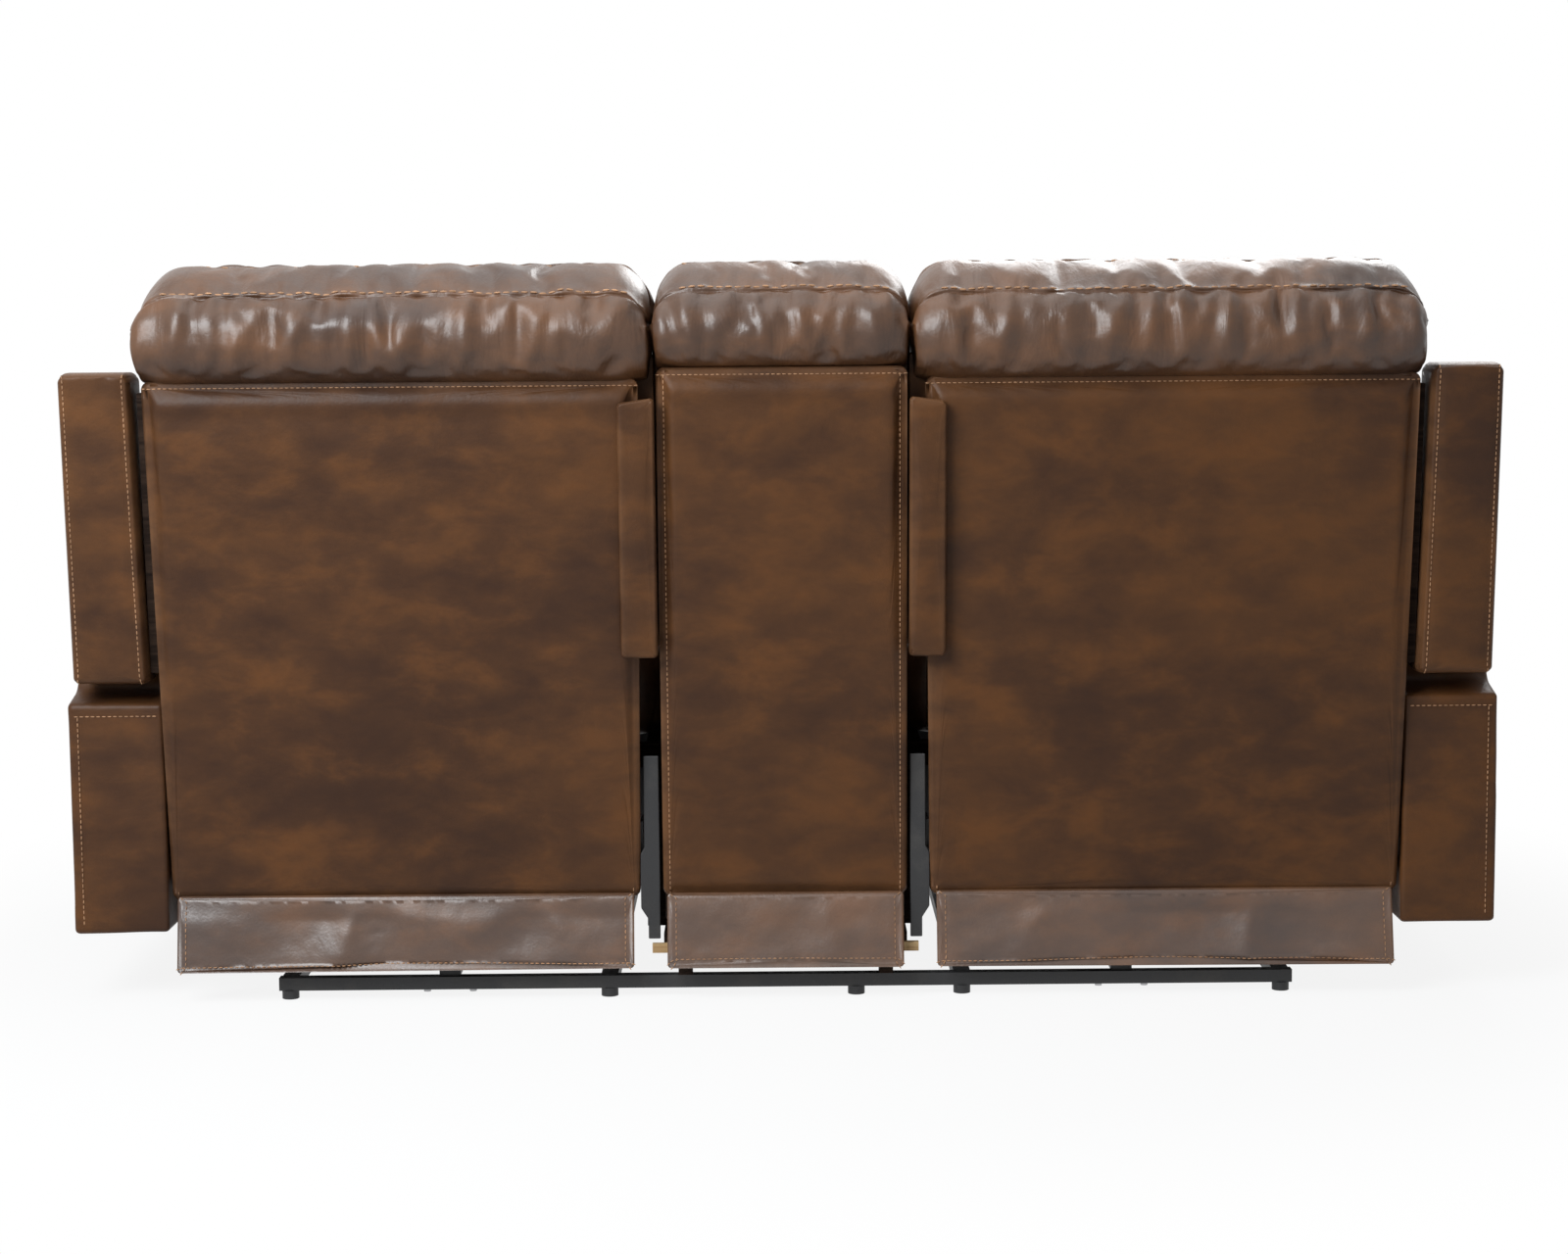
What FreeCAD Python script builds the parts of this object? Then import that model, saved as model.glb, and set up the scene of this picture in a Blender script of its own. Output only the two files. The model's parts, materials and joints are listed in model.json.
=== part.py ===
"""Two-seat reclining sofa with a centre console, built as separate pieces in millimetres.

X points to the sitter's left, Y to the rear and Z up. The origin lies on the floor
under the middle of the sofa. The left half is built first and the right half mirrors it.
"""
import FreeCAD
import Part
import Sketcher
import os

document = FreeCAD.newDocument("RecliningSofa")
sizes = document.addObject("Spreadsheet::Sheet", "Sizes")
pieces = []


# Driving dimensions
class Size:
    """A length that knows both its number and the spreadsheet expression behind it."""

    def __init__(self, text, value):
        self.text = text
        self.value = float(value)

    def combine(self, other, sign, value):
        other_text = other.text if isinstance(other, Size) else repr(float(other))
        return Size(f"({self.text} {sign} {other_text})", value)

    def __add__(self, other):
        return self.combine(other, "+", self.value + number(other))

    def __sub__(self, other):
        return self.combine(other, "-", self.value - number(other))

    def __mul__(self, other):
        return self.combine(other, "*", self.value * number(other))

    def __truediv__(self, other):
        return self.combine(other, "/", self.value / number(other))

    def __neg__(self):
        return Size(f"(0 - {self.text})", -self.value)


def number(entry):
    return entry.value if isinstance(entry, Size) else float(entry)


def size(alias, value):
    """Write one driving dimension into the spreadsheet and return it as a Size."""
    row = size.next_row
    size.next_row += 1
    sizes.set(f"A{row}", alias)
    sizes.set(f"B{row}", str(value))
    sizes.setAlias(f"B{row}", alias)
    return Size(f"Sizes.{alias}", value)


size.next_row = 1
zero = Size("0", 0)

overall_width = size("overall_width", 2000)
front_reach = size("front_reach", 520)
arm_width = size("arm_width", 133)
arm_rear = size("arm_rear", 418)
arm_bottom = size("arm_bottom", 101)
arm_top = size("arm_top", 560)
arm_rear_top = size("arm_rear_top", 425)
arm_rear_drop = size("arm_rear_drop", 15)
arm_pad_height = size("arm_pad_height", 62)
arm_pad_overhang = size("arm_pad_overhang", 10)
cover_wall = size("cover_wall", 12)
frame_board = size("frame_board", 40)

console_half_width = size("console_half_width", 172)
back_gap = size("back_gap", 32)
side_clearance = size("side_clearance", 3)
console_bottom = size("console_bottom", 90)
console_top = size("console_top", 540)
deck_thickness = size("deck_thickness", 20)
lid_thickness = size("lid_thickness", 50)
lid_setback = size("lid_setback", 225)
lid_rear = size("lid_rear", 119.7)
lid_side_margin = size("lid_side_margin", 12)
bin_margin = size("bin_margin", 20)
bin_depth = size("bin_depth", 160)
bin_wall = size("bin_wall", 3)
hinge_radius = size("hinge_radius", 4)
cup_radius = size("cup_radius", 42)
cup_wall = size("cup_wall", 2.5)
cup_depth = size("cup_depth", 75)
cup_spacing = size("cup_spacing", 80)
cup_setback = size("cup_setback", 120)
cup_rim = size("cup_rim", 6)

foot_height = size("foot_height", 12)
foot_radius = size("foot_radius", 12)
bar_height = size("bar_height", 18)
bar_depth = size("bar_depth", 18)
bar_reach = size("bar_reach", 718)
rear_bar_middle = size("rear_bar_middle", 392)
front_bar_setback = size("front_bar_setback", 175)
inner_rail_middle = size("inner_rail_middle", 250)
outer_rail_middle = size("outer_rail_middle", 703)
rail_width = size("rail_width", 24)
spare_foot_middle = size("spare_foot_middle", -100)
plate_thickness = size("plate_thickness", 4)
bolt_radius = size("bolt_radius", 5)
bolt_head = size("bolt_head", 4)
bolt_spacing = size("bolt_spacing", 65)

seat_frame_bottom = size("seat_frame_bottom", 300)
seat_frame_height = size("seat_frame_height", 34)
seat_frame_setback = size("seat_frame_setback", 90)
seat_frame_rear = size("seat_frame_rear", 225)
seat_rail_width = size("seat_rail_width", 30)
post_bottom = size("post_bottom", 64)
spring_wire = size("spring_wire", 4)
spring_swing = size("spring_swing", 30)
seat_cushion_height = size("seat_cushion_height", 150)
seat_cushion_rear = size("seat_cushion_rear", 215)
seat_cushion_round = size("seat_cushion_round", 35)

pivot_rear = size("pivot_rear", 330)
pivot_height = size("pivot_height", 270)
pivot_radius = size("pivot_radius", 5)
back_slope = size("back_slope", 0.104)
back_bottom = size("back_bottom", 147)
back_bottom_rear = size("back_bottom_rear", 411)
back_top = size("back_top", 876)
panel_thickness = size("panel_thickness", 25)
back_frame_depth = size("back_frame_depth", 60)
back_stile_width = size("back_stile_width", 40)
back_rail_height = size("back_rail_height", 60)
back_cushion_depth = size("back_cushion_depth", 150)
back_cushion_round = size("back_cushion_round", 30)
console_back_proud = size("console_back_proud", 8)
console_back_top = size("console_back_top", 890)
roll_height = size("roll_height", 162)
roll_bulge = size("roll_bulge", 20)
roll_front = size("roll_front", 225)
roll_round = size("roll_round", 28)
roll_overhang = size("roll_overhang", 13)
roll_gap = size("roll_gap", 3)

wing_gap = size("wing_gap", 14)
wing_inset = size("wing_inset", 12)
wing_bottom = size("wing_bottom", 455)
wing_top = size("wing_top", 884)
wing_rear_bottom = size("wing_rear_bottom", 442)
wing_rear_top = size("wing_rear_top", 480)
wing_depth = size("wing_depth", 90)
wing_round = size("wing_round", 12)
wing_arm_bottom = size("wing_arm_bottom", 470)
wing_arm_height = size("wing_arm_height", 390)
inner_wing_bottom = size("inner_wing_bottom", 490)
inner_wing_top = size("inner_wing_top", 849)
inner_wing_overlap = size("inner_wing_overlap", 20)
inner_wing_depth = size("inner_wing_depth", 19)
inner_wing_gap = size("inner_wing_gap", 4)

flap_drop = size("flap_drop", 104)
flap_kick = size("flap_kick", 24)
flap_thickness = size("flap_thickness", 2)
flap_gap = size("flap_gap", 0.9)
flap_side_margin = size("flap_side_margin", 9)

link_setback = size("link_setback", 97)
link_pivot_height = size("link_pivot_height", 285)
link_length = size("link_length", 175)
link_radius = size("link_radius", 12)
link_thickness = size("link_thickness", 6)
link_gap = size("link_gap", 1.5)
link_pin_radius = size("link_pin_radius", 4)
running_clearance = size("running_clearance", 0.05)
footrest_bottom = size("footrest_bottom", 100)
footrest_gap = size("footrest_gap", 6)
footrest_sheet = size("footrest_sheet", 3)
footrest_pad_depth = size("footrest_pad_depth", 78)
footrest_round = size("footrest_round", 25)

tube_radius = size("tube_radius", 14)
tube_front = size("tube_front", -150)
tube_height = size("tube_height", 180)
crank_length = size("crank_length", 70)
actuator_width = size("actuator_width", 30)
actuator_rail_height = size("actuator_rail_height", 12)
motor_width = size("motor_width", 60)
motor_length = size("motor_length", 150)
motor_height = size("motor_height", 85)
motor_front = size("motor_front", 90)

switch_front = size("switch_front", -250)
switch_length = size("switch_length", 90)
switch_bottom = size("switch_bottom", 498)
switch_height = size("switch_height", 36)
switch_depth = size("switch_depth", 3)
button_radius = size("button_radius", 8)
button_height = size("button_height", 4.3)
button_proud = size("button_proud", 3)
document.recompute()


# Helpers
def bind(item, prop, length):
    """Tie one property to the spreadsheet."""
    if isinstance(length, Size):
        item.setExpression(prop, length.text)
    else:
        item.setExpression(prop, repr(float(length)))


def place(item, x, y, z):
    for axis, length in zip("xyz", (x, y, z)):
        bind(item, f"Placement.Base.{axis}", length)


def keep(item, label):
    """Record a finished piece under the name of its file."""
    item.Label = label
    pieces.append(item)
    return item


def block(low, high):
    """A rectangular block between two corners."""
    item = document.addObject("Part::Box", "Block")
    for prop, start, end in zip(("Length", "Width", "Height"), low, high):
        bind(item, prop, end - start)
    place(item, *low)
    return item


def rod(axis, start, length, radius):
    """A round bar along X or Z from a start point."""
    item = document.addObject("Part::Cylinder", "Rod")
    bind(item, "Radius", radius)
    bind(item, "Height", length)
    if axis == "X":
        item.Placement.Rotation = FreeCAD.Rotation(FreeCAD.Vector(0, 1, 0), 90)
    place(item, *start)
    return item


def group(members):
    """Several separate solids in one node."""
    item = document.addObject("Part::Compound", "Group")
    item.Links = members
    return item


def cut(base, tools):
    """A piece with one or more tools taken away."""
    item = document.addObject("Part::Cut", "Cut")
    item.Base = base
    item.Tool = tools[0] if len(tools) == 1 else group(tools)
    return item


def prism(x_range, outline, rounding=None):
    """A side outline of Y and Z points, padded along X, with its long edges rounded."""
    body = document.addObject("PartDesign::Body", "Body")
    plane = [entry for entry in body.Origin.OriginFeatures if entry.Role == "YZ_Plane"][0]
    sketch = body.newObject("Sketcher::SketchObject", "Outline")
    sketch.AttachmentSupport = [(plane, "")]
    sketch.MapMode = "FlatFace"
    corners = [FreeCAD.Vector(number(y), number(z), 0) for y, z in outline]
    count = len(corners)
    for index in range(count):
        sketch.addGeometry(Part.LineSegment(corners[index], corners[(index + 1) % count]))
    for index in range(count):
        sketch.addConstraint(Sketcher.Constraint("Coincident", index, 2, (index + 1) % count, 1))
    for index, (y, z) in enumerate(outline):
        for kind, length in (("DistanceX", y), ("DistanceY", z)):
            datum = sketch.addConstraint(Sketcher.Constraint(kind, -1, 1, index, 1, number(length)))
            bind(sketch, f"Constraints[{datum}]", length)
    pad = body.newObject("PartDesign::Pad", "Pad")
    pad.Profile = sketch
    bind(pad, "Length", x_range[1] - x_range[0])
    sketch.Visibility = False
    if rounding is not None:
        document.recompute()
        fillet = body.newObject("PartDesign::Fillet", "Rounding")
        long_edges = [f"Edge{place_in_list + 1}" for place_in_list, edge in enumerate(pad.Shape.Edges)
                      if abs(edge.tangentAt(edge.FirstParameter).x) > 0.999]
        fillet.Base = (pad, long_edges)
        bind(fillet, "Radius", rounding)
    bind(body, "Placement.Base.x", x_range[0])
    return body


def drilled_plate(x_range, outline, holes):
    """A flat plate across X with round holes given as (y, z, radius)."""
    plate = prism(x_range, outline)
    margin = x_range[1] - x_range[0]
    drills = [rod("X", (x_range[0] - margin, y, z), margin * 3, radius) for y, z, radius in holes]
    return cut(plate, drills)


def span(side, near, far):
    """The X range between two distances from the middle, on one side of the sofa."""
    return (near, far) if side > 0 else (-far, -near)


def back_line(height, depth):
    """Y of a plane that lies parallel to a back's rear face, at a depth in front of it."""
    return back_bottom_rear + (height - back_bottom) * back_slope - depth


def leaning_board(x_range, low, high, front_depth, rear_depth, rounding=None):
    """A board that leans with the back, between two heights and two depths."""
    outline = [(back_line(low, rear_depth), low), (back_line(high, rear_depth), high),
               (back_line(high, front_depth), high), (back_line(low, front_depth), low)]
    return prism(x_range, outline, rounding)


# Places that several pieces share
arm_outer = overall_width / 2
arm_inner = arm_outer - arm_width
bay_inner = console_half_width + back_gap
bay_outer = arm_inner - side_clearance
console_side = console_half_width + side_clearance
bar_top = foot_height + bar_height
seat_frame_top = seat_frame_bottom + seat_frame_height
cushion_bottom = seat_frame_top + spring_wire
cushion_top = cushion_bottom + seat_cushion_height
seat_front = -front_reach + 5
seat_frame_front = seat_front + seat_frame_setback
link_pivot_front = seat_front + link_setback
cup_middle = seat_front + cup_setback
lid_front = seat_front + lid_setback
front_bar_middle = seat_front + front_bar_setback
wing_inner_edge = arm_inner + wing_gap
wing_outer_edge = arm_outer - wing_inset
roll_outer = arm_inner + roll_overhang
inner_plate = inner_rail_middle + rail_width / 2
outer_plate = outer_rail_middle - rail_width / 2
frame_front_depth = panel_thickness + back_frame_depth
cushion_front_depth = frame_front_depth + back_cushion_depth
link_low = link_pivot_height - link_length
board_rear = link_pivot_front - link_radius - footrest_gap
board_top = cushion_bottom - footrest_gap
rear_bar_front = rear_bar_middle - bar_depth / 2
front_bar_rear = front_bar_middle + bar_depth / 2


# Steel base
def base_frame():
    """Cross bars at the front and rear, with the rails of both mechanisms between them."""
    bar_ends = [-bar_reach, -console_half_width, console_half_width, bar_reach]
    bars = []
    for middle in (front_bar_middle, rear_bar_middle):
        for start, end in zip(bar_ends, bar_ends[1:]):
            bars.append(block((start, middle - bar_depth / 2, foot_height),
                              (end, middle + bar_depth / 2, bar_top)))
    for middle in (inner_rail_middle, outer_rail_middle, -inner_rail_middle, -outer_rail_middle):
        bars.append(block((middle - rail_width / 2, front_bar_rear, foot_height),
                          (middle + rail_width / 2, rear_bar_front, bar_top)))
    keep(group(bars), "base_frame")


def base_fasteners():
    """Plastic feet under the cross bars and bolt heads beside them."""
    feet = []
    places = [outer_rail_middle, inner_rail_middle, spare_foot_middle, -inner_rail_middle, -outer_rail_middle]
    for y in (front_bar_middle, rear_bar_middle):
        for x in places:
            feet.append(rod("Z", (x, y, zero), foot_height, foot_radius))
    keep(group(feet), "feet")
    heads = []
    middle_of_bay = (inner_rail_middle + outer_rail_middle) / 2
    for y in (front_bar_middle, rear_bar_middle):
        for x in (middle_of_bay - bolt_spacing / 2, middle_of_bay + bolt_spacing / 2,
                  -middle_of_bay - bolt_spacing / 2, -middle_of_bay + bolt_spacing / 2):
            heads.append(rod("Z", (x, y, foot_height - bolt_head), bolt_head, bolt_radius))
    keep(group(heads), "bar_bolts")


# Arms
def arm(side, name):
    """A board frame inside a padded cover, with a pillow on top."""
    inside = (cover_wall, arm_rear - cover_wall)
    shoulder = arm_rear_top + arm_rear_drop
    front = seat_front + 10
    wing_front = wing_rear_bottom - wing_depth
    outline = [(front, arm_bottom), (arm_rear, arm_bottom), (arm_rear, arm_rear_top),
               (wing_front - 2, shoulder), (wing_front - 22, arm_top), (front, arm_top)]
    wall = cover_wall
    hollow = [(front + wall, arm_bottom - wall), (arm_rear - wall, arm_bottom - wall),
              (arm_rear - wall, arm_rear_top - wall), (wing_front - wall - 2, shoulder - wall),
              (wing_front - wall - 22, arm_top - wall), (front + wall, arm_top - wall)]
    shell = prism(span(side, arm_inner, arm_outer), outline)
    core = prism(span(side, arm_inner + wall, arm_outer - wall), hollow)
    keep(cut(shell, [core]), f"{name}_arm_cover")
    near, far = span(side, arm_inner + wall, arm_outer - wall)
    post_rear = inside[1]
    sill_top = arm_bottom + frame_board
    head_top = arm_top - wall
    members = [
        block((near, front + wall, arm_bottom), (far, post_rear, sill_top)),
        block((near, front + wall, sill_top), (far, front + wall + frame_board, head_top - frame_board)),
        block((near, zero - frame_board, sill_top), (far, zero, head_top - frame_board)),
        block((near, post_rear - frame_board, sill_top), (far, post_rear, arm_rear_top - wall - 1)),
        block((near, front + wall, head_top - frame_board), (far, wing_front - wall * 4, head_top)),
    ]
    keep(group(members), f"{name}_arm_frame")
    pillow_low = arm_top
    pillow_high = arm_top + arm_pad_height
    pillow = [(seat_front - 4, pillow_low), (seat_cushion_rear - 15, pillow_low),
              (seat_cushion_rear - 15, pillow_high - 12), (seat_front - 4, pillow_high)]
    keep(prism(span(side, arm_inner - arm_pad_overhang, arm_outer), pillow, wing_round), f"{name}_arm_pad")


# Console between the seats
def console_box():
    """Boards that carry the console, its padded sides and the deck with its openings."""
    half = console_half_width
    board = frame_board
    rail_bottom = console_bottom - 15
    stile_near = half - board * 1.6
    legs = []
    for y in (front_bar_middle, rear_bar_middle):
        for x_range in (span(1, half - board, half - board / 2), span(-1, half - board, half - board / 2)):
            legs.append(block((x_range[0], y - bar_depth / 2, bar_top), (x_range[1], y + bar_depth / 2, rail_bottom)))
    members = list(legs)
    for side in (1, -1):
        near, far = span(side, half - board, half)
        members.append(block((near, seat_front + 30, rail_bottom), (far, rear_bar_front + bar_depth, console_bottom)))
        stile = span(side, stile_near, half - board / 2)
        members.append(leaning_board(stile, console_bottom, console_back_top - 10,
                                     frame_front_depth, panel_thickness))
    for low in (console_top + 60, console_back_top - 90):
        members.append(leaning_board((-stile_near, stile_near), low, low + board,
                                     frame_front_depth, panel_thickness))
    keep(group(members), "console_frame")
    keep(block((-half - 16, rear_bar_front + bar_depth, rail_bottom - 11),
               (half + 16, rear_bar_front + bar_depth + 9, rail_bottom + 2)), "console_rear_rail")
    front = seat_front + 15
    rear = pivot_rear - 15
    wall = cover_wall
    panels = [block((-half, front, console_bottom), (half, front + wall, console_top))]
    for side in (1, -1):
        near, far = span(side, half - wall, half)
        panels.append(block((near, front + wall, console_bottom), (far, rear, console_top)))
    keep(group(panels), "console_cover")


def console_deck():
    """The deck with two cup holders and a storage bin under a hinged lid."""
    half = console_half_width
    deck_top = console_top + deck_thickness
    deck = block((-half, seat_front + 15, console_top), (half, seat_cushion_rear + 20, deck_top))
    bin_half = half - cover_wall - bin_margin
    bin_front = lid_front + bin_margin
    bin_rear = lid_rear - bin_margin
    opening = block((-bin_half, bin_front, console_top - deck_thickness),
                    (bin_half, bin_rear, deck_top + deck_thickness))
    cup_places = (cup_spacing, -cup_spacing)
    holes = [rod("Z", (x, cup_middle, console_top - deck_thickness), deck_thickness * 3, cup_radius)
             for x in cup_places]
    keep(cut(deck, [opening] + holes), "console_deck")
    tub = block((-bin_half, bin_front, deck_top - bin_depth), (bin_half, bin_rear, deck_top))
    space = block((-bin_half + bin_wall, bin_front + bin_wall, deck_top - bin_depth + bin_wall),
                  (bin_half - bin_wall, bin_rear - bin_wall, deck_top + bin_wall))
    keep(cut(tub, [space]), "console_bin")
    cups = []
    for x in cup_places:
        wall = rod("Z", (x, cup_middle, deck_top - cup_depth), cup_depth, cup_radius)
        rim = rod("Z", (x, cup_middle, deck_top), cup_wall, cup_radius + cup_rim)
        whole = document.addObject("Part::Fuse", "Cup")
        whole.Base = wall
        whole.Tool = rim
        inside = rod("Z", (x, cup_middle, deck_top - cup_depth + cup_wall), cup_depth + cup_wall,
                     cup_radius - cup_wall)
        cups.append(cut(whole, [inside]))
    keep(group(cups), "cup_holders")
    lid_bottom = deck_top + 0.3
    lid_outline = [(lid_front, lid_bottom), (lid_rear, lid_bottom),
                   (lid_rear, lid_bottom + lid_thickness), (lid_front, lid_bottom + lid_thickness)]
    lid_half = half - lid_side_margin
    keep(prism((-lid_half, lid_half), lid_outline), "console_lid")
    barrel_middle = lid_rear + hinge_radius + 0.3
    keep(rod("X", (-lid_half, barrel_middle, deck_top + hinge_radius), lid_half * 2, hinge_radius),
         "lid_hinge_barrel")


def console_back():
    """The fixed back above the console: panel, cushion, head roll and hanging flap."""
    half = console_half_width
    low = back_bottom + 1
    keep(leaning_board((-half, half), low, console_back_top, panel_thickness, -console_back_proud),
         "console_back_panel")
    deck_top = console_top + deck_thickness
    keep(leaning_board((-half, half), deck_top, console_back_top, cushion_front_depth, frame_front_depth,
                       back_cushion_round), "console_back_cushion")
    head_roll(-half - 4, half + 4, console_back_top, "console_head_cushion")
    flap(-half + 6, half - 6, "console_back_flap", low, -console_back_proud)


def head_roll(near, far, seat, label):
    """A plump roll along the top of a back that bulges out over its rear face."""
    rear = back_line(seat, zero)
    top = back_top + roll_height
    outline = [(rear - 6, seat), (rear + roll_bulge, seat + 50), (rear - 8, top - 22), (rear - 90, top),
               (roll_front + 45, top - 25), (roll_front + 5, top - 70), (roll_front + 12, seat)]
    keep(prism((near, far), outline, roll_round), label)


def flap(near, far, label, fold_height, proud_depth):
    """A thin leather flap that hangs from a panel's lower edge and kicks out."""
    high = fold_height - flap_gap
    rear = back_line(fold_height, proud_depth)
    outline = [(rear - flap_thickness, high), (rear, high),
               (rear + flap_kick, high - flap_drop), (rear + flap_kick - flap_thickness, high - flap_drop)]
    keep(prism((near, far), outline), label)


# Seats
def seat(side, name):
    """The fixed seat frame, its springs and the seat cushion."""
    near, far = span(side, console_half_width, arm_inner)
    rail = seat_rail_width
    low = seat_frame_bottom
    high = seat_frame_top
    members = [
        block((near, seat_frame_front, low), (far, seat_frame_front + rail, high)),
        block((near, seat_frame_rear - rail, low), (far, seat_frame_rear, high)),
    ]
    for edge in (near, far - rail):
        members.append(block((edge, seat_frame_front + rail, low), (edge + rail, seat_frame_rear - rail, high)))
    for edge in (near, far - rail):
        post_far = edge + rail
        members.append(block((edge, seat_frame_rear - rail, post_bottom), (post_far, seat_frame_rear, low)))
    keep(group(members), f"{name}_seat_frame")
    cushion = [(seat_front, cushion_bottom), (seat_cushion_rear, cushion_bottom),
               (seat_cushion_rear, cushion_top - 8), (seat_front, cushion_top)]
    keep(prism(span(side, console_side, bay_outer), cushion, seat_cushion_round), f"{name}_seat_cushion")


def springs():
    """Zigzag wire springs that lie across the front and rear seat rails."""
    wires = []
    bends = 8
    run = seat_frame_rear - seat_frame_front - seat_rail_width / 2
    start = seat_frame_front + seat_rail_width / 4
    for side in (1, -1):
        for share in (0.2, 0.4, 0.6, 0.8):
            middle = bay_inner + (bay_outer - bay_inner) * share
            centre = middle if side > 0 else -middle
            wires.append(zigzag(centre, start, run, bends))
    keep(group(wires), "seat_springs")


def zigzag(centre, start, run, bends):
    """One flat zigzag wire along Y."""
    half = spring_swing.value / 2
    step = run.value / bends
    wire = spring_wire.value
    ys = [start.value + step * index for index in range(bends + 1)]
    xs = [centre.value + (half if index % 2 else -half) for index in range(bends + 1)]
    left = [FreeCAD.Vector(x - wire / 2, y, seat_frame_top.value) for x, y in zip(xs, ys)]
    right = [FreeCAD.Vector(x + wire / 2, y, seat_frame_top.value) for x, y in zip(xs, ys)]
    outline = left + right[::-1] + [left[0]]
    item = document.addObject("Part::Feature", "Zigzag")
    item.Shape = Part.Face(Part.makePolygon(outline)).extrude(FreeCAD.Vector(0, 0, wire))
    return item


# Mechanism under each seat
def mechanism_plates(side, name):
    """Two upright plates on the base rails that carry the seat, the links and the back pivot."""
    clear = running_clearance
    ear = pivot_radius * 3
    outline = [(link_pivot_front - link_radius, link_pivot_height - link_radius * 2),
               (front_bar_rear, bar_top), (seat_frame_rear - 75, bar_top),
               (seat_frame_rear + 5, pivot_height - ear - 20), (pivot_rear + ear, pivot_height - ear), (pivot_rear + ear, pivot_height + ear),
               (seat_frame_rear + 4, pivot_height + ear), (seat_frame_rear, seat_frame_bottom),
               (link_pivot_front - link_radius, seat_frame_bottom)]
    holes = [(link_pivot_front, link_pivot_height, link_pin_radius + clear),
             (tube_front, tube_height, tube_radius + clear),
             (pivot_rear, pivot_height, pivot_radius + clear)]
    plates = []
    for edge in (inner_plate - plate_thickness, outer_plate):
        plates.append(drilled_plate(span(side, edge, edge + plate_thickness), outline, holes))
    keep(group(plates), f"{name}_mechanism_plates")


def link(x_range, low, high, holes):
    """A flat steel link between two heights at the front pivot."""
    half = link_radius
    outline = [(link_pivot_front - half / 2, low - half), (link_pivot_front + half / 2, low - half),
               (link_pivot_front + half, low - half / 2), (link_pivot_front + half, high + half / 2),
               (link_pivot_front + half / 2, high + half), (link_pivot_front - half / 2, high + half),
               (link_pivot_front - half, high + half / 2), (link_pivot_front - half, low - half / 2)]
    if not holes:
        return prism(x_range, outline)
    return drilled_plate(x_range, outline, holes)


def footrest(side, name):
    """Two pairs of folding links that carry the padded footrest."""
    clear = running_clearance
    gap = link_gap
    thick = link_thickness
    low_links = []
    high_links = []
    brackets = []
    for inward, plate_face in ((1, inner_plate), (-1, outer_plate)):
        def level(start):
            """Distance from the middle, counted from the plate's face into the seat."""
            return plate_face + start * inward

        def spread(start, end):
            return span(side, *sorted((level(start), level(end)), key=number))

        first = spread(gap, gap + thick)
        second = spread(gap * 2 + thick, gap * 2 + thick * 2)
        third = spread(gap * 3 + thick * 2, gap * 3 + thick * 3)
        low_links.append(link(first, link_low, link_pivot_height, []))
        pin_start = spread(zero - plate_thickness, gap)
        low_links.append(rod("X", (pin_start[0], link_pivot_front, link_pivot_height),
                             pin_start[1] - pin_start[0], link_pin_radius))
        knee = spread(gap + thick, gap * 2 + thick * 2)
        low_links.append(rod("X", (knee[0], link_pivot_front, link_low), knee[1] - knee[0], link_pin_radius))
        high_links.append(link(second, link_low, link_pivot_height,
                               [(link_pivot_front, link_low, link_pin_radius + clear)]))
        end_pin = spread(gap * 2 + thick * 2, gap * 3 + thick * 3)
        high_links.append(rod("X", (end_pin[0], link_pivot_front, link_pivot_height),
                              end_pin[1] - end_pin[0], link_pin_radius))
        ear = [(board_rear, link_pivot_height - link_radius), (link_pivot_front + link_radius, link_pivot_height - link_radius),
               (link_pivot_front + link_radius, link_pivot_height + link_radius),
               (board_rear, link_pivot_height + link_radius)]
        brackets.append(drilled_plate(third, ear, [(link_pivot_front, link_pivot_height, link_pin_radius + clear)]))
    keep(group(low_links), f"{name}_lower_links")
    keep(group(high_links), f"{name}_upper_links")
    near, far = span(side, console_side, bay_outer)
    board = block((near + 10, board_rear - footrest_sheet, footrest_bottom),
                  (far - 10, board_rear, board_top))
    keep(group([board] + brackets), f"{name}_footrest_frame")
    pad_rear = board_rear - footrest_sheet
    pad = [(pad_rear - footrest_pad_depth, footrest_bottom - 5), (pad_rear, footrest_bottom - 5),
           (pad_rear, board_top + 2), (pad_rear - footrest_pad_depth, board_top + 2)]
    keep(prism((near, far), pad, footrest_round), f"{name}_footrest_pad")


def drive(side, name):
    """A torque tube between the plates; returns the motor and rail that turn it."""
    near, far = span(side, inner_plate - plate_thickness, outer_plate + plate_thickness)
    middle = (inner_plate + outer_plate) / 2
    tube = rod("X", (near, tube_front, tube_height), far - near, tube_radius)
    lever_range = span(side, middle + actuator_width / 2 + 2, middle + actuator_width / 2 + 8)
    lever = prism(lever_range, [(tube_front - 8, tube_height - crank_length), (tube_front + 8, tube_height - crank_length),
                                (tube_front + 8, tube_height), (tube_front - 8, tube_height)])
    whole = document.addObject("Part::Fuse", "Torque")
    whole.Base = tube
    whole.Tool = lever
    keep(whole, f"{name}_torque_tube")
    rail_near, rail_far = span(side, middle - actuator_width / 2, middle + actuator_width / 2)
    rail = block((rail_near, front_bar_middle, bar_top), (rail_far, rear_bar_middle, bar_top + actuator_rail_height))
    motor_near, motor_far = span(side, middle - motor_width / 2, middle + motor_width / 2)
    motor = block((motor_near, motor_front, bar_top + actuator_rail_height),
                  (motor_far, motor_front + motor_length, bar_top + actuator_rail_height + motor_height))
    return [rail, motor]


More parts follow.
